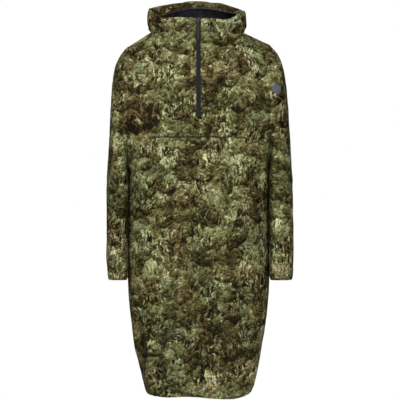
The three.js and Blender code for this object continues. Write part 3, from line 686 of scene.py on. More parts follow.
# Shares of a half width that stand at even steps along the cloth of a typical row
def evenShares(count, edge=0.0):
    angle = np.linspace(0, math.pi / 2, 400)
    x, y = 204 * np.sin(angle) ** cloth["sideRoundness"], 125 * np.cos(angle) ** cloth["sideRoundness"]
    length = np.concatenate([[0], np.cumsum(np.hypot(np.diff(x), np.diff(y)))])
    return np.interp(np.linspace(edge, 1, count) * length[-1], length, x / 204)


# Columns from the left seam to the right one, with the zip's slot between the middle two
def panelShares(row, columns):
    half = evenShares(columns // 2, 0.035)
    slots = [zipper["halfWidth"] / row["leftX"], zipper["halfWidth"] / row["rightX"]]
    left = np.concatenate([-half[::-1] + 0 * row["leftX"], -slots[0]], axis=1)
    right = np.concatenate([slots[1], half + 0 * row["leftX"]], axis=1)
    return np.concatenate([left, right], axis=1)


def panelPlaces():
    look = panelLook
    return np.concatenate([np.linspace(0, 1, look["yokeRows"], endpoint=False),
                           np.linspace(1, 2, look["armholeRows"], endpoint=False),
                           np.linspace(2, 3, look["skirtRows"] + 1)])


# 0 at the seams of a panel and 1 inside it
def edgeFade(skin, places, reach):
    columns = skin.shape[1]
    fromSide = np.minimum(np.arange(columns), np.arange(columns)[::-1])[None, :] * 6.0
    fromTop = (places * 100)[:, None]
    return np.clip(np.minimum(fromSide, fromTop) / reach, 0, 1) ** 1.2


def bodyPanel(name, face, folds, seed):
    places = panelPlaces()
    row = {k: v[:, None] for k, v in bodyRow(places).items()}
    shares = panelShares(row, panelLook["columns"])
    skin = rowPoint(row, face, shares)
    outward = -1 if face == "front" else 1
    if face == "back":
        skin = skin[:, ::-1]
    normals = gridNormals(skin, False)
    fade = edgeFade(skin, places, 26)
    relief = fade * foldRelief(folds, skin[..., 0], skin[..., 2])
    if face == "front":
        relief += foldRelief(collarFolds, skin[..., 0], skin[..., 2])
    # Painted shade: darker colour in the depth of the folds, and on the sides of the body from 150 to 760 mm
    # below the origin where there is no fold
    dark = paintedShade(relief)
    under = np.clip((-150 - skin[..., 2]) / 60, 0, 1) * np.clip((skin[..., 2] + 760) / 40, 0, 1)
    dark = np.maximum(dark, 0.5 * under * np.clip((np.abs(skin[..., 0]) - 186) / 16, 0, 1))
    relief += np.clip(fade * 3, 0, 1) * unevenness(skin, seed)
    relief -= panelLook["seamValley"] * (1 - np.clip(fade * 4, 0, 1)) * np.clip(places * 4, 0.15, 1)[:, None]
    fromHem = skin[-1:, :, 2] * -1 + skin[..., 2]
    turned = np.clip(1 - (fromHem - hemLook["turnUp"]) / 4, 0, 1)
    relief -= hemLook["groove"] * np.exp(-((fromHem - hemLook["stitchUp"]) / 2.6) ** 2)
    along = np.cumsum(np.linalg.norm(np.diff(skin, axis=1, prepend=skin[:, :1]), axis=2), axis=1)
    gathers = np.sin(along * 2 * np.pi / hemLook["puckerLength"] + 2.2 * np.sin(along / 47))
    relief += hemLook["pucker"] * gathers * np.exp(-np.clip(fromHem - 8, 0, None) / 16)
    skin = skin + normals * relief[..., None]
    skin[..., 0] -= 4.2 * np.exp(-((skin[..., 2] + 1005) / 55) ** 2) * np.clip((-skin[..., 0] - 100) / 40, 0, 1)
    if face == "front":
        beside = np.clip((-350 - skin[..., 2]) / 40, 0, 1) * np.clip((skin[..., 2] + 740) / 60, 0, 1)
        fill = np.exp(-((skin[..., 1] - sideFill["y"]) / sideFill["reach"]) ** 2)
        skin[..., 0] += np.sign(skin[..., 0]) * sideFill["out"] * fill * beside
        skin[..., 2] += np.interp(skin[..., 0], hemWave["x"], hemWave["lift"]) * np.exp(-fromHem / 90)
    skin = insetEdges(skin, ("start", "end", "top"))
    sideSeam = places > 2
    skin[sideSeam, 0, 1] = skin[sideSeam, -1, 1] = levels["sideY"] + outward * cloth["seamGap"] / 2
    keep = None
    if face == "front":
        keep = np.ones((skin.shape[0] - 1, skin.shape[1] - 1), bool)
        middle = skin.shape[1] // 2 - 1
        keep[: zipEndRow(places), middle] = False
    wall = cloth["shell"] + hemLook["extraWall"] * turned
    piece = clothWall(name, skin, [shell, shellBack], wall, keep=keep,
                      shift=(0 if face == "front" else 2.0, 0), dark=dark)
    return piece, skin


def zipEndRow(places):
    return int(np.argmin(np.abs(bodyRow(places)["frontZ"] - zipper["bottomZ"])))


# Opens half a seam's gap along the named edges of a grid
def insetEdges(skin, edges):
    skin = skin.copy()
    half = cloth["seamGap"] / 2

    def towards(a, b):
        step = b - a
        return a + step / np.maximum(np.linalg.norm(step, axis=-1, keepdims=True), 1e-9) * half
    if "start" in edges:
        skin[:, 0] = towards(skin[:, 0], skin[:, 1])
    if "end" in edges:
        skin[:, -1] = towards(skin[:, -1], skin[:, -2])
    if "top" in edges:
        skin[0] = towards(skin[0], skin[1])
    if "bottom" in edges:
        skin[-1] = towards(skin[-1], skin[-2])
    return skin


frontPiece, frontGrid = bodyPanel("frontPanel", "front", frontFolds, 11)
backPiece, backGrid = bodyPanel("backPanel", "back", backFolds, 12)
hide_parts("front_panel")
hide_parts("back_panel")
print("body panels made")


# Sleeves and cuffs

sleeveLook = {"columns": 96, "rows": 150, "gather": 1.3, "gatherLength": 17, "gatherReach": 26}
cuffLook = {"height": 25, "narrowing": 0.08, "rows": 18, "groove": 0.6, "stitchUp": 4,
            "roll": 0.06}


def sleeveGrid(side):
    places = np.linspace(0, len(sleeveRings["y"]) - 1, sleeveLook["rows"])[:, None]
    turns = np.linspace(0, 360, sleeveLook["columns"], endpoint=False)[None, :]
    if side == "right":
        turns = -turns
    skin = sleevePoint(side, places, turns)
    facing = (turns + 180) % 360 - 180
    u = facing * 1.1
    v = skin[..., 2]
    normals = gridNormals(skin, True)
    fade = np.clip(places / 1.2, 0, 1)
    mirrored = 1 if side == "left" else 0.85
    relief = fade * mirrored * foldRelief(sleeveFolds, u, v)
    # Painted shade: on the inner side of each sleeve beside the body, stronger on the right of the picture, and
    # in the depth of the folds
    paintedShadeBesideBody = np.clip((np.abs(facing - 142) - 34) / -14, 0, 1) * np.clip((-150 - v) / 60, 0, 1)
    dark = np.maximum(paintedShade(relief), (0.34 if side == "left" else 0.55) * paintedShadeBesideBody)
    relief += np.clip(places / 0.5, 0, 1) * unevenness(skin, 21 if side == "left" else 22)
    relief -= panelLook["seamValley"] * np.exp(-places / 0.12)
    toCuff = (len(sleeveRings["y"]) - 1 - places) * 42
    gathers = np.sin(u * 2 * np.pi / sleeveLook["gatherLength"] + 1.7 * np.sin(u / 31))
    relief += sleeveLook["gather"] * gathers * np.exp(-toCuff / sleeveLook["gatherReach"])
    innerSide = np.clip((np.abs(facing) - 128) / 22, 0, 1)  # under the arm the cloth lies against the body
    relief = np.where(relief > 0, relief * (1 - innerSide), relief)
    skin = skin + normals * relief[..., None]
    sign = -1 if side == "left" else 1
    skin[0, :, 0] = sign * (armhole["x"] + cloth["seamGap"] / 2)
    return skin, gathers[-1:], dark


def sleevePieces(side, wearer):
    skin, gathers, dark = sleeveGrid(side)
    offset = 4.0 if side == "left" else 5.0
    sleeve = clothWall("sleeve" + wearer, skin, [shell, shellBack], cloth["shell"], closed=True,
                       shift=(offset, 0), dark=dark)
    drop = np.linspace(0, 1, cuffLook["rows"])[:, None, None]
    seam = skin[-1:]
    middle = seam.mean(axis=1, keepdims=True)
    scale = 1 - cuffLook["narrowing"] * drop
    scale = scale - cuffLook["roll"] * np.clip((drop - 0.7) / 0.3, 0, 1) ** 2
    band = middle + (seam - middle) * np.concatenate([scale, scale, 1 + 0 * scale], axis=2)
    fromEdge = cuffLook["height"] * (1 - drop[..., 0])
    hanging = band + drop * [0, 0, -cuffLook["height"]]
    normals = gridNormals(np.concatenate([band[:1] + [0, 0, 1], hanging]), True)[1:]
    relief = -cuffLook["groove"] * np.exp(-((fromEdge - cuffLook["stitchUp"]) / 1.8) ** 2)
    relief = relief - 0.8 * np.exp(-((fromEdge - cuffLook["height"]) / 1.6) ** 2) + 0 * gathers
    band = band + normals * relief[..., None]
    band[..., 2] = skin[-1:, :, 2] - cloth["seamGap"] - drop[..., 0] * cuffLook["height"]
    wall = cloth["shell"] + 0.8
    cuff = clothWall("cuff" + wearer, band, [shell, shellBack], wall, closed=True, shift=(offset, -0.7))
    return sleeve, cuff, skin, band


sleeves = {side: sleevePieces(side, wearer) for side, wearer in (("left", "Right"), ("right", "Left"))}
for side, wearer in (("left", "right"), ("right", "left")):
    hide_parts("sleeve_" + wearer)
    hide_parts("cuff_" + wearer)
print("sleeves and cuffs made")


# Hood and its lining

hoodLook = {"rows": 60, "frontColumns": 46, "backColumns": 46}


# The whole hood, from the left edge of the zip round the back to the right one, mouth row first
def hoodGrid():
    places = np.linspace(1, 0, hoodLook["rows"])
    row = {k: v[:, None] for k, v in hoodRow(places).items()}
    zero = 0 * row["leftX"]
    front = evenShares(hoodLook["frontColumns"], 0.05)[None, :] + zero
    back = evenShares(hoodLook["backColumns"])[None, :] + zero
    slotLeft, slotRight = zipper["halfWidth"] / row["leftX"], zipper["halfWidth"] / row["rightX"]
    leftFront = rowPoint(row, "front", -np.concatenate([slotLeft, front], axis=1))
    leftBack = rowPoint(row, "back", -back[:, ::-1][:, 1:] - 1e-9)
    rightBack = rowPoint(row, "back", back[:, 1:])
    rightFront = rowPoint(row, "front", np.concatenate([front[:, ::-1][:, 1:], slotRight], axis=1))
    skin = np.concatenate([leftFront, leftBack, rightBack, rightFront], axis=1)
    angle = np.degrees(np.arctan2(skin[..., 0], -(skin[..., 1] - row["sideY"])))
    return skin, places[:, None], angle


# How far the front edge of the mouth sags at each x, and how far the crown drops from its highest place
mouthDip = table(
    "x drop",
    (-138, 4), (-124, 12), (-110, 14), (-96, 8), (-80, 1), (-62, -2), (-30, -2), (0, 0),
    (34, 1), (52, 4), (66, 8), (78, 9.5), (92, 9), (106, 6.5), (118, 3), (134, 0))
crownDrop = table(
    "x drop",
    (-150, 1), (-120, 2.5), (-90, 3), (-60, 2), (-25, 0), (20, 0), (60, 2.5), (90, 3.5), (122, 5.5), (150, 5))


def hoodPieces():
    skin, places, angle = hoodGrid()
    normals = -gridNormals(skin, False)
    u = angle * 1.9
    v = places * 230
    fade = np.clip(np.minimum(places, 1 - places) / 0.06, 0, 1)
    relief = fade * foldRelief(hoodFolds, u, v)
    facing = np.clip((14 - skin[..., 1]) / 30, 0, 1)  # 1 on the front of the collar
    relief += facing * foldRelief(collarFolds, skin[..., 0], skin[..., 2]) * np.clip((1 - places) / 0.08, 0, 1)
    # Painted shade in the depth of the hood's and collar's folds
    dark = paintedShade(relief)
    relief += np.clip(fade * 2, 0, 1) * unevenness(skin, 31) * 0.9
    relief -= 0.15 * np.exp(-places / 0.015)
    skin = skin + normals * relief[..., None]
    lip = np.clip((places - 0.55) / 0.33, 0, 1)
    skin[..., 0] *= 1 + np.where(skin[..., 0] < 0, 0.045, 0.075) * np.clip((places - 0.84) / 0.16, 0, 1)
    skin[..., 2] -= np.interp(skin[..., 0], mouthDip["x"], mouthDip["drop"]) * facing * lip
    crown = np.clip((skin[..., 2] - 55) / 20, 0, 1)
    skin[..., 2] -= np.interp(skin[..., 0], crownDrop["x"], crownDrop["drop"]) * crown
    middle = skin.shape[1] // 2
    gap = cloth["seamGap"] / 2
    halves = []
    right, left = np.s_[:, : middle + 1], np.s_[:, middle:]
    for name, half, shiftX, sign in (("hoodRight", right, 6.0, -1), ("hoodLeft", left, 7.0, 1)):
        part = insetEdges(skin[half][:, ::-1], ("bottom",))
        seamColumn = 0 if sign < 0 else -1
        part[:, seamColumn, 0] = sign * gap
        halves.append(clothWall(name, part, [shell, shellBack], cloth["shell"], shift=(shiftX, 0),
                                dark=dark[half][:, ::-1]))
    inset = cloth["shell"] + cloth["liningGap"]
    inside = skin - normals * inset
    behind = np.clip((skin[..., 1] - 60) / 30, 0, 1)
    creases = np.minimum(foldRelief(liningFolds, inside[..., 0], inside[..., 2]), 0)
    inside = insetEdges((inside + normals * (behind * creases)[..., None])[:, ::-1], ("start", "end", "bottom"))
    liningCloth = clothWall("hoodLining", inside, [lining, lining], cloth["lining"], shift=(8.0, 0))
    return halves, liningCloth, skin


(hoodRight, hoodLeft), liningPiece, hoodSurface = hoodPieces()
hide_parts("hood_right")
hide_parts("hood_left")
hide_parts("hood_lining")
print("hood made")


# Pocket mouth across the chest

weltLook = {"leftX": -137, "rightX": 133, "z": -301, "height": 11, "wall": 1.6, "steps": 120}


def weltPiece():
    look = weltLook
    profile = table("up out", (1, 0.4), (0.97, 1.5), (0.8, 1.9), (0.55, 1.7), (0.3, 1.9), (0.12, 2.4), (0, 2.3))
    x = np.linspace(look["leftX"], look["rightX"], look["steps"])[None, :]
    z = look["z"] + look["height"] * profile["up"][:, None]
    skin = frontAt(x + 0 * z, z + 0 * x)
    relief = foldRelief(frontFolds, skin[..., 0], skin[..., 2]) + unevenness(skin, 11)
    skin[..., 1] -= profile["out"][:, None] + 0.5 + relief
    skin[..., 1] -= 0.25 * np.sin(x / 5.5 + 2 * np.sin(x / 40)) * (profile["up"][:, None] < 0.5)
    return clothWall("pocketWelt", skin, [shell, lining], look["wall"], shift=(9.0, 0))


# A near-black strip laid just over the panel under the welt: painted shade for the pocket's slit
def mouthPiece():
    look = weltLook
    x = np.linspace(look["leftX"] + 1, look["rightX"] - 1, look["steps"])[None, :]
    z = look["z"] + np.array([3.0, 0.4, -1.6, -2.8])[:, None]
    skin = frontAt(x + 0 * z, z + 0 * x)
    relief = foldRelief(frontFolds, skin[..., 0], skin[..., 2]) + unevenness(skin, 11)
    skin[..., 1] -= relief + np.array([0.5, 0.5, 0.35, 0.2])[:, None]
    return clothWall("pocketMouthShade", skin, [pocketShade, pocketShade], 0.4)


weltCloth = weltPiece()
mouthShade = mouthPiece()
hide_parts("pocket_welt")


# Zip

tapeLook = {"rows": 150, "recess": 0.3, "wall": 1.4}
toothLook = {"radius": 0.62, "length": 2.3, "lean": 14}


def stripPiece(name, fromX, toX, look, columns=5):
    z = np.linspace(zipper["topZ"], zipper["bottomZ"] + 1, tapeLook["rows"])[:, None]
    x = np.linspace(fromX, toX, columns)[None, :]
    y = centreY(z[:, 0])[:, None] + tapeLook["recess"] + 0.12 * np.sin(z / 5.1 + x)
    skin = np.stack(np.broadcast_arrays(x, y, z), axis=-1)
    return clothWall(name, skin, [look, look], tapeLook["wall"])


tapeEdge = zipper["halfWidth"] - 0.3
tapeInner = zipper["chainHalfWidth"] - 0.9
tapeRight = stripPiece("tapeRight", -tapeEdge, -tapeInner, tape)
tapeLeft = stripPiece("tapeLeft", tapeInner, tapeEdge, tape)
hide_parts("zip_tape_right")
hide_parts("zip_tape_left")


def geometryTree(name, sockets):
    tree = bpy.data.node_groups.new(name, "GeometryNodeTree")
    tree.interface.new_socket("Geometry", in_out="INPUT", socket_type="NodeSocketGeometry")
    named = {label: tree.interface.new_socket(label, in_out="INPUT", socket_type=kind).identifier
             for label, kind in sockets}
    tree.interface.new_socket("Geometry", in_out="OUTPUT", socket_type="NodeSocketGeometry")
    return tree, named, tree.nodes.new("NodeGroupInput"), tree.nodes.new("NodeGroupOutput")


# Sets a small smooth bead at even steps along each path, lying along it or across it
def alongPathTree():
    tree, named, start, end = geometryTree("beadsAlongPaths", [
        ("Step", "NodeSocketFloat"), ("Bead size", "NodeSocketVector"), ("Lean", "NodeSocketVector"),
        ("Material", "NodeSocketMaterial")])
    link = tree.links.new
    curve = tree.nodes.new("GeometryNodeMeshToCurve")
    link(start.outputs["Geometry"], curve.inputs["Mesh"])
    even = tree.nodes.new("GeometryNodeResampleCurve")
    even.mode = "LENGTH"
    link(curve.outputs[0], even.inputs["Curve"])
    link(start.outputs["Step"], even.inputs["Length"])
    bead = tree.nodes.new("GeometryNodeMeshIcoSphere")
    bead.inputs["Radius"].default_value = 1.0
    bead.inputs["Subdivisions"].default_value = 2
    tangent = tree.nodes.new("GeometryNodeInputTangent")
    align = tree.nodes.new("FunctionNodeAlignEulerToVector")
    align.axis = "Z"
    link(tangent.outputs[0], align.inputs["Vector"])
    turned = tree.nodes.new("FunctionNodeRotateEuler")
    turned.space = "LOCAL"
    link(align.outputs[0], turned.inputs["Rotation"])
    link(start.outputs["Lean"], turned.inputs["Rotate By"])
    place = tree.nodes.new("GeometryNodeInstanceOnPoints")
    link(even.outputs[0], place.inputs["Points"])
    link(bead.outputs["Mesh"], place.inputs["Instance"])
    link(turned.outputs[0], place.inputs["Rotation"])
    link(start.outputs["Bead size"], place.inputs["Scale"])
    real = tree.nodes.new("GeometryNodeRealizeInstances")
    link(place.outputs[0], real.inputs[0])
    smooth = tree.nodes.new("GeometryNodeSetShadeSmooth")
    link(real.outputs[0], smooth.inputs[0])
    finish = tree.nodes.new("GeometryNodeSetMaterial")
    link(smooth.outputs[0], finish.inputs["Geometry"])
    link(start.outputs["Material"], finish.inputs["Material"])
    link(finish.outputs[0], end.inputs[0])
    return tree, named


beadTree, beadSockets = alongPathTree()


# Paths are lists of points in millimetres
def beads(name, paths, step, size, lean, material):
    points, edges = [], []
    for path in paths:
        first = len(points)
        points.extend(tuple(np.asarray(p) * mm) for p in path)
        edges.extend((first + i, first + i + 1) for i in range(len(path) - 1))
    mesh = bpy.data.meshes.new(name + "Paths")
    mesh.from_pydata(points, edges, [])
    carrier = bpy.data.objects.new(name + "Paths", mesh)
    bpy.context.scene.collection.objects.link(carrier)
    modifier = carrier.modifiers.new("beads", "NODES")
    modifier.node_group = beadTree
    values = {"Step": step * mm, "Bead size": tuple(s * mm for s in size),
              "Lean": tuple(math.radians(a) for a in lean), "Material": material}
    for label, value in values.items():
        modifier[beadSockets[label]] = value
    depsgraph = bpy.context.evaluated_depsgraph_get()
    made = bpy.data.meshes.new_from_object(carrier.evaluated_get(depsgraph))
    bpy.data.objects.remove(carrier)
    piece = bpy.data.objects.new(name, made)
    bpy.context.scene.collection.objects.link(piece)
    return piece


def toothPaths():
    z = np.linspace(zipper["sliderZ"] - 7, zipper["bottomZ"] + 9, 260)
    y = centreY(z) - zipper["chainProud"] + 0.35
    shifts = ((-0.75, 0.0), (0.75, zipper["pitch"] / 2))
    return [[(x, yy, zz - drop) for yy, zz in zip(y, z)] for x, drop in shifts]


toothSize = (toothLook["length"] / 2, toothLook["radius"], toothLook["radius"])
leftTeeth, rightTeeth = (
    beads("teeth" + side, [path], zipper["pitch"], toothSize, (0, 0, lean * toothLook["lean"]), teethPlastic)
    for side, path, lean in zip(("Right", "Left"), toothPaths(), (1, -1)))
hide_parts("zip_chain")

sliderLook = {"halfWidth": 4.5, "length": 12, "plate": 2.2, "earWidth": 1.2, "pinRadius": 0.7, "pinOut": 5.1}
pullLook = {"eyeRadius": 2.1, "eyeHole": 1.1, "eyeWidth": 4, "length": 62, "neckLength": 9, "gripWidth": 7,
            "gripWall": 2, "clearance": 0.8}


def sliderPlace():
    z = zipper["sliderZ"]
    y = float(centreY([z])[0]) - zipper["chainProud"] - 0.3
    rise = float(centreY([z + 6])[0] - centreY([z - 6])[0])
    lean = math.atan2(rise, 12)
    return Matrix.Translation((0, y * mm, z * mm)) @ Matrix.Rotation(-lean, 4, "X")


def bevelled(work, amount, segments=2):
    bmesh.ops.bevel(work, geom=list(work.edges), offset=amount * mm, segments=segments, affect="EDGES",
                    profile=0.7)


def fromBmesh(name, work, look, angle=35):
    bmesh.ops.recalc_face_normals(work, faces=work.faces)
    mesh = bpy.data.meshes.new(name)
    work.to_mesh(mesh)
    work.free()
    mesh.materials.append(look)
    mesh.polygons.foreach_set("use_smooth", [True] * len(mesh.polygons))
    mesh.set_sharp_from_angle(angle=math.radians(angle))
    piece = bpy.data.objects.new(name, mesh)
    bpy.context.scene.collection.objects.link(piece)
    return piece


# A solid between two depths, from an outline in x and z
def prism(work, outline, fromY, toY):
    low = [work.verts.new((x * mm, fromY * mm, z * mm)) for x, z in outline]
    high = [work.verts.new((x * mm, toY * mm, z * mm)) for x, z in outline]
    work.faces.new(low)
    work.faces.new(high[::-1])
    for i in range(len(outline)):
        k = (i + 1) % len(outline)
        work.faces.new((low[k], low[i], high[i], high[k]))


def sliderPiece():
    look = sliderLook
    half, length = look["halfWidth"], look["length"]
    work = bmesh.new()
    outline = [(-half * 0.86, length / 2), (half * 0.86, length / 2), (half, length * 0.36), (half, 0),
               (half * 0.72, -length / 2), (-half * 0.72, -length / 2), (-half, 0), (-half, length * 0.36)]
    prism(work, outline, 0, -look["plate"])
    bevelled(work, 0.45)
    ears = bmesh.new()
    earX = pullLook["eyeWidth"] / 2 + 0.3 + look["earWidth"] / 2
    for side in (-1, 1):
        place = Matrix.Translation((side * earX * mm, -(look["plate"] + 1.6) * mm, 0))
        size = Matrix.Diagonal((look["earWidth"] * mm, 3.8 * mm, 3.4 * mm, 1))
        bmesh.ops.create_cube(ears, size=1, matrix=place @ size)
    bevelled(ears, 0.3)
    pinRadius = look["pinRadius"] * mm
    pin = bmesh.ops.create_cone(ears, segments=20, radius1=pinRadius, radius2=pinRadius, depth=2 * earX * mm,
                                cap_ends=True)
    bmesh.ops.rotate(ears, verts=pin["verts"], matrix=Matrix.Rotation(math.pi / 2, 3, "Y"))
    bmesh.ops.translate(ears, verts=pin["verts"], vec=(0, -look["pinOut"] * mm, 0))
    mesh = bpy.data.meshes.new("ears")
    ears.to_mesh(mesh)
    ears.free()
    work.from_mesh(mesh)
    work.transform(sliderPlace())
    return fromBmesh("zipSlider", work, zipMetal)


def pullPiece():
    look = pullLook
    work = bmesh.new()
    sections = []
    stations = np.linspace(look["neckLength"] - 3, look["length"], 110)
    for d in stations:
        toTip = look["length"] - d
        neckEnds = [look["neckLength"] - 3, look["neckLength"] + 3]
        taper = np.interp(d, neckEnds, [look["eyeWidth"], look["gripWidth"]])
        width = taper / 2
        tip = look["gripWidth"] / 2
        if toTip < tip:
            width = math.sqrt(max(tip ** 2 - (tip - toTip) ** 2, 0.01))
        wall = look["gripWall"] / 2
        ribZone = 1 if look["length"] - 30 < d < look["length"] - 5 else 0
        rib = 0.22 * ribZone * (0.5 + 0.5 * math.cos((d - look["length"]) * 2 * math.pi / 2.6))
        wall = wall * (0.9 if toTip > 1 else 0.55) + rib
        ring = []
        for k in range(16):
            angle = 2 * math.pi * k / 16
            cx, cy = math.cos(angle), math.sin(angle)
            x = width * math.copysign(abs(cx) ** 0.5, cx)
            y = wall * math.copysign(abs(cy) ** 0.6, cy)
            ring.append(work.verts.new((x * mm, y * mm, -d * mm)))
        sections.append(ring)
    for a, b in zip(sections, sections[1:]):
        for k in range(16):
            work.faces.new((a[k], a[(k + 1) % 16], b[(k + 1) % 16], b[k]))
    work.faces.new(sections[0][::-1])
    work.faces.new(sections[-1])
    eye = bmesh.new()
    steps = 28
    rings = []
    for k in range(steps):
        angle = 2 * math.pi * k / steps
        mid, thick = (look["eyeRadius"] + look["eyeHole"]) / 2, (look["eyeRadius"] - look["eyeHole"]) / 2
        corners = ((1, 0.8), (0.8, 1), (-0.8, 1), (-1, 0.8), (-1, -0.8), (-0.8, -1), (0.8, -1), (1, -0.8))
        ring = []
        for r, w in corners:
            radius = mid + thick * r
            ring.append(eye.verts.new((w * look["eyeWidth"] / 2 * mm, radius * math.sin(angle) * mm,
                                       radius * math.cos(angle) * mm)))
        rings.append(ring)
    for k in range(steps):
        a, b = rings[k], rings[(k + 1) % steps]
        for i in range(8):
            eye.faces.new((a[i], a[(i + 1) % 8], b[(i + 1) % 8], b[i]))
    prism(eye, [(-1.6, -1.5), (1.6, -1.5), (1.9, -look["neckLength"]), (-1.9, -look["neckLength"])], 0.8, -0.8)
    mesh = bpy.data.meshes.new("eye")
    eye.to_mesh(mesh)
    eye.free()
    work.from_mesh(mesh)
    pin = sliderPlace() @ Vector((0, -sliderLook["pinOut"] * mm, 0))
    downs = np.arange(6, look["length"] + 1, 2.0)
    reach = centreY(pin.z / mm - downs) - zipper["chainProud"] - look["gripWall"] / 2 - look["clearance"]
    lean = float(np.max(np.arctan2(pin.y / mm - reach, downs)))
    work.transform(Matrix.Translation(pin) @ Matrix.Rotation(-lean, 4, "X"))
    return fromBmesh("zipPull", work, pullPlastic)


slider = sliderPiece()
puller = pullPiece()
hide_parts("zip_slider")
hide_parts("zip_pull")


def endPatchPiece():
    top = zipper["bottomZ"] + 10
    z = np.linspace(top, top - 12, 13)[:, None]
    x = np.linspace(-8.5, 8.5, 18)[None, :]
    rounded = 1 - 0.5 * np.maximum(np.abs(x) / 8.5, np.abs(z - top + 6) / 6) ** 6
    y = centreY(z[:, 0])[:, None] - zipper["chainProud"] - 0.3 - 0.8 * rounded
    skin = np.stack(np.broadcast_arrays(x, y, z), axis=-1)
    return clothWall("zipEndPatch", skin, [tape, tape], 0.5)


endPatch = endPatchPiece()
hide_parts("zip_end_patch")
print("zip made")


# Round transfer on the left sleeve

transferLook = {"radius": 14.5, "x": 224, "z": -164, "wall": 0.4, "lift": 0.35, "rings": 14, "spokes": 64}


def transferPiece():
    look = transferLook
    place, turn = np.meshgrid(np.arange(1, 6, 0.05), np.arange(10, 120, 1.0), indexing="ij")
    seen = sleevePoint("right", place, turn)
    nearest = np.argmin(np.hypot(seen[..., 0] - look["x"], seen[..., 2] - look["z"]))
    place, turn = place.ravel()[nearest], turn.ravel()[nearest]
    centre = sleevePoint("right", place, turn)
    perTurn = sleevePoint("right", place, turn + 1) - centre
    perPlace = (sleevePoint("right", place + 0.1, turn) - centre) * 10
    across = perTurn / np.linalg.norm(perTurn)
    outward = np.cross(perTurn, perPlace)
    outward /= np.linalg.norm(outward)
    up = np.cross(outward, across)
    radius = np.linspace(0.001, look["radius"], look["rings"])[:, None, None]
    angle = np.linspace(0, 2 * np.pi, look["spokes"], endpoint=False)[None, :, None]
    flat = centre + radius * (np.cos(angle) * across + np.sin(angle) * up) + outward * 12
    under = BVHTree.FromObject(sleeves["right"][0], bpy.context.evaluated_depsgraph_get())
    skin = flat.copy()
    for i, j in np.ndindex(flat.shape[:2]):
        hit = under.ray_cast(Vector(flat[i, j] * mm), Vector(-outward))[0]
        skin[i, j] = np.array(hit) / mm + outward * (look["lift"] + look["wall"])
    edge = skin[-1:] + (skin[-1:] - skin[:1]) / look["radius"] * 0.2 - outward * look["wall"]
    middle = skin[:1] - outward * look["wall"]
    rings = np.concatenate([skin, edge, middle + (edge - middle) * 0.5, middle + (edge - middle) * 0.001])
    count, spokes = rings.shape[:2]
    faces = [[i * spokes + j, (i + 1) * spokes + j, (i + 1) * spokes + k, i * spokes + k]
             for i in range(count - 1) for j, k in ((j, (j + 1) % spokes) for j in range(spokes))]
    points = rings.reshape(-1, 3) * mm
    faces.append(list(range(spokes)))
    faces.append(list(range((count - 1) * spokes, count * spokes))[::-1])
    piece = meshPiece("sleeveTransfer", points, faces, [transferInk])
    work = bmesh.new()
    work.from_mesh(piece.data)
    bmesh.ops.recalc_face_normals(work, faces=work.faces)
    work.to_mesh(piece.data)
    work.free()
    return piece


transfer = transferPiece()
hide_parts("sleeve_transfer")


# Stitching

stitchLook = {"step": 3.1, "size": (0.26, 0.26, 1.15), "lift": 0.12}


# A path along row i of a grid, just over the cloth
def rowPath(skin, i):
    normals = gridNormals(skin, False)
    return list(skin[i] + normals[i] * stitchLook["lift"])


# A path down column j of a grid
def columnPath(skin, j, first, last):
    normals = gridNormals(skin, False)
    return list(skin[first:last, j] + normals[first:last, j] * stitchLook["lift"])


def nearestRow(skin, height):
    fromHem = skin[..., 2] - skin[-1:, :, 2]
    return int(np.argmin(np.abs(fromHem.mean(axis=1) - height)))


def stitchPaths():
    paths = []
    for grid in (frontGrid, backGrid):
        paths.append(rowPath(grid, nearestRow(grid, hemLook["stitchUp"])))
    armRows = range(panelLook["yokeRows"], panelLook["yokeRows"] + panelLook["armholeRows"])
    for grid in (frontGrid, backGrid):
        for column in (2, grid.shape[1] - 3):
            paths.append(columnPath(grid, column, armRows[0], armRows[-1]))
    for side in ("left", "right"):
        cuffGrid = sleeves[side][3]
        closed = np.concatenate([cuffGrid, cuffGrid[:, :1]], axis=1)
        paths.append(rowPath(closed, int(cuffLook["rows"] * 0.84)))
    middle = frontGrid.shape[1] // 2
    endRow = zipEndRow(panelPlaces())
    for column in (middle - 2, middle + 1):
        paths.append(columnPath(frontGrid, column, 0, endRow + 1))
    paths.append(rowPath(hoodSurface[:, ::-1], 5))
    for up in (0.86, 0.2):
        x = np.linspace(weltLook["leftX"] + 2, weltLook["rightX"] - 2, 100)
        z = weltLook["z"] + weltLook["height"] * up + 0 * x
        skin = frontAt(x, z)
        skin[..., 1] -= 2.62 + foldRelief(frontFolds, skin[..., 0], skin[..., 2]) + unevenness(skin, 11)
        paths.append(list(skin))
    return paths


stitches = beads("stitches", stitchPaths(), stitchLook["step"], stitchLook["size"], (0, 0, 0), thread)
print("stitching made")


# Bodies: which pieces belong to the garment and which to the pull tab

garment = [frontPiece, backPiece, hoodRight, hoodLeft, liningPiece, weltCloth, mouthShade, tapeRight, tapeLeft,
           leftTeeth, rightTeeth, slider, endPatch, transfer, stitches]
garment += [piece for side in sleeves for piece in sleeves[side][:2]]
for piece in garment:
    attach(piece, "garment")
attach(puller, "pull_tab")


# Floor, light and camera

stage = {"floorZ": -1.32, "radius": 2.6, "view": 6.0, "frame": 1.16, "centre": (0.00435, -0.4814)}


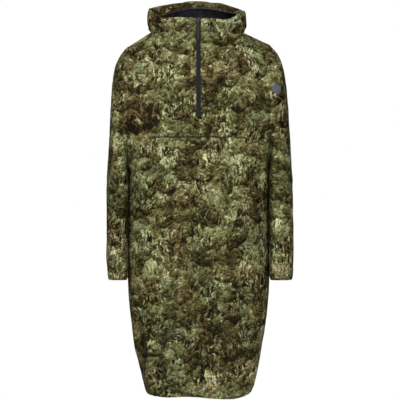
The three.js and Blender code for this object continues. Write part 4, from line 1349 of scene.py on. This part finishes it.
def paleFloor():
    work = bmesh.new()
    bmesh.ops.create_circle(work, cap_ends=True, radius=stage["radius"], segments=96)
    bmesh.ops.translate(work, verts=work.verts, vec=(0, 0, stage["floorZ"]))
    material, _, _ = newMaterial("paleFloor", Base_Color=(0.9, 0.9, 0.9, 1), Roughness=0.9)
    fromBmesh("paleFloor", work, material)


# Dim all round for the light, white where the camera sees it
def studioWorld():
    world = bpy.data.worlds.new("studio")
    world.use_nodes = True
    tree = world.node_tree
    dim = tree.nodes["Background"]
    dim.inputs["Color"].default_value = (1, 1, 1, 1)
    dim.inputs["Strength"].default_value = 0.15
    seen = node(tree, "ShaderNodeBackground", Color=(1, 1, 1, 1), Strength=1.0)
    ray = node(tree, "ShaderNodeLightPath")
    either = node(tree, "ShaderNodeMixShader")
    tree.links.new(ray.outputs["Is Camera Ray"], either.inputs[0])
    tree.links.new(dim.outputs[0], either.inputs[1])
    tree.links.new(seen.outputs[0], either.inputs[2])
    tree.links.new(either.outputs[0], tree.nodes["World Output"].inputs["Surface"])
    bpy.context.scene.world = world


def softLight(name, place, target, size, power):
    light = bpy.data.lights.new(name, "AREA")
    light.shape = "RECTANGLE"
    light.size, light.size_y = size
    light.energy = power
    holder = bpy.data.objects.new(name, light)
    holder.location = place
    holder.rotation_euler = (Vector(target) - Vector(place)).to_track_quat("-Z", "Y").to_euler()
    bpy.context.scene.collection.objects.link(holder)


paleFloor()
studioWorld()
softLight("keyLight", (-1.5, -3.4, 2.3), (0, 0, -0.4), (1.1, 1.1), 150)
softLight("fillLight", (1.2, -4.2, -0.6), (0, 0, -0.5), (1.5, 2.2), 95)
softLight("topLight", (0, -1.4, 2.4), (0, 0, 0), (1.6, 0.8), 14)
softLight("backLight", (-0.5, 4.6, 1.2), (0, 0, -0.5), (1.5, 1.8), 60)
bpy.context.scene.view_settings.view_transform = "Standard"

lens = bpy.data.cameras.new("frontView")
lens.sensor_width = 36
lens.lens = lens.sensor_width * stage["view"] / stage["frame"]
lens.clip_end = 50
camera = bpy.data.objects.new("frontView", lens)
camera.location = (stage["centre"][0], -stage["view"], stage["centre"][1])
camera.rotation_euler = (math.pi / 2, 0, 0)
bpy.context.scene.collection.objects.link(camera)
bpy.context.scene.camera = camera

print("scene made")
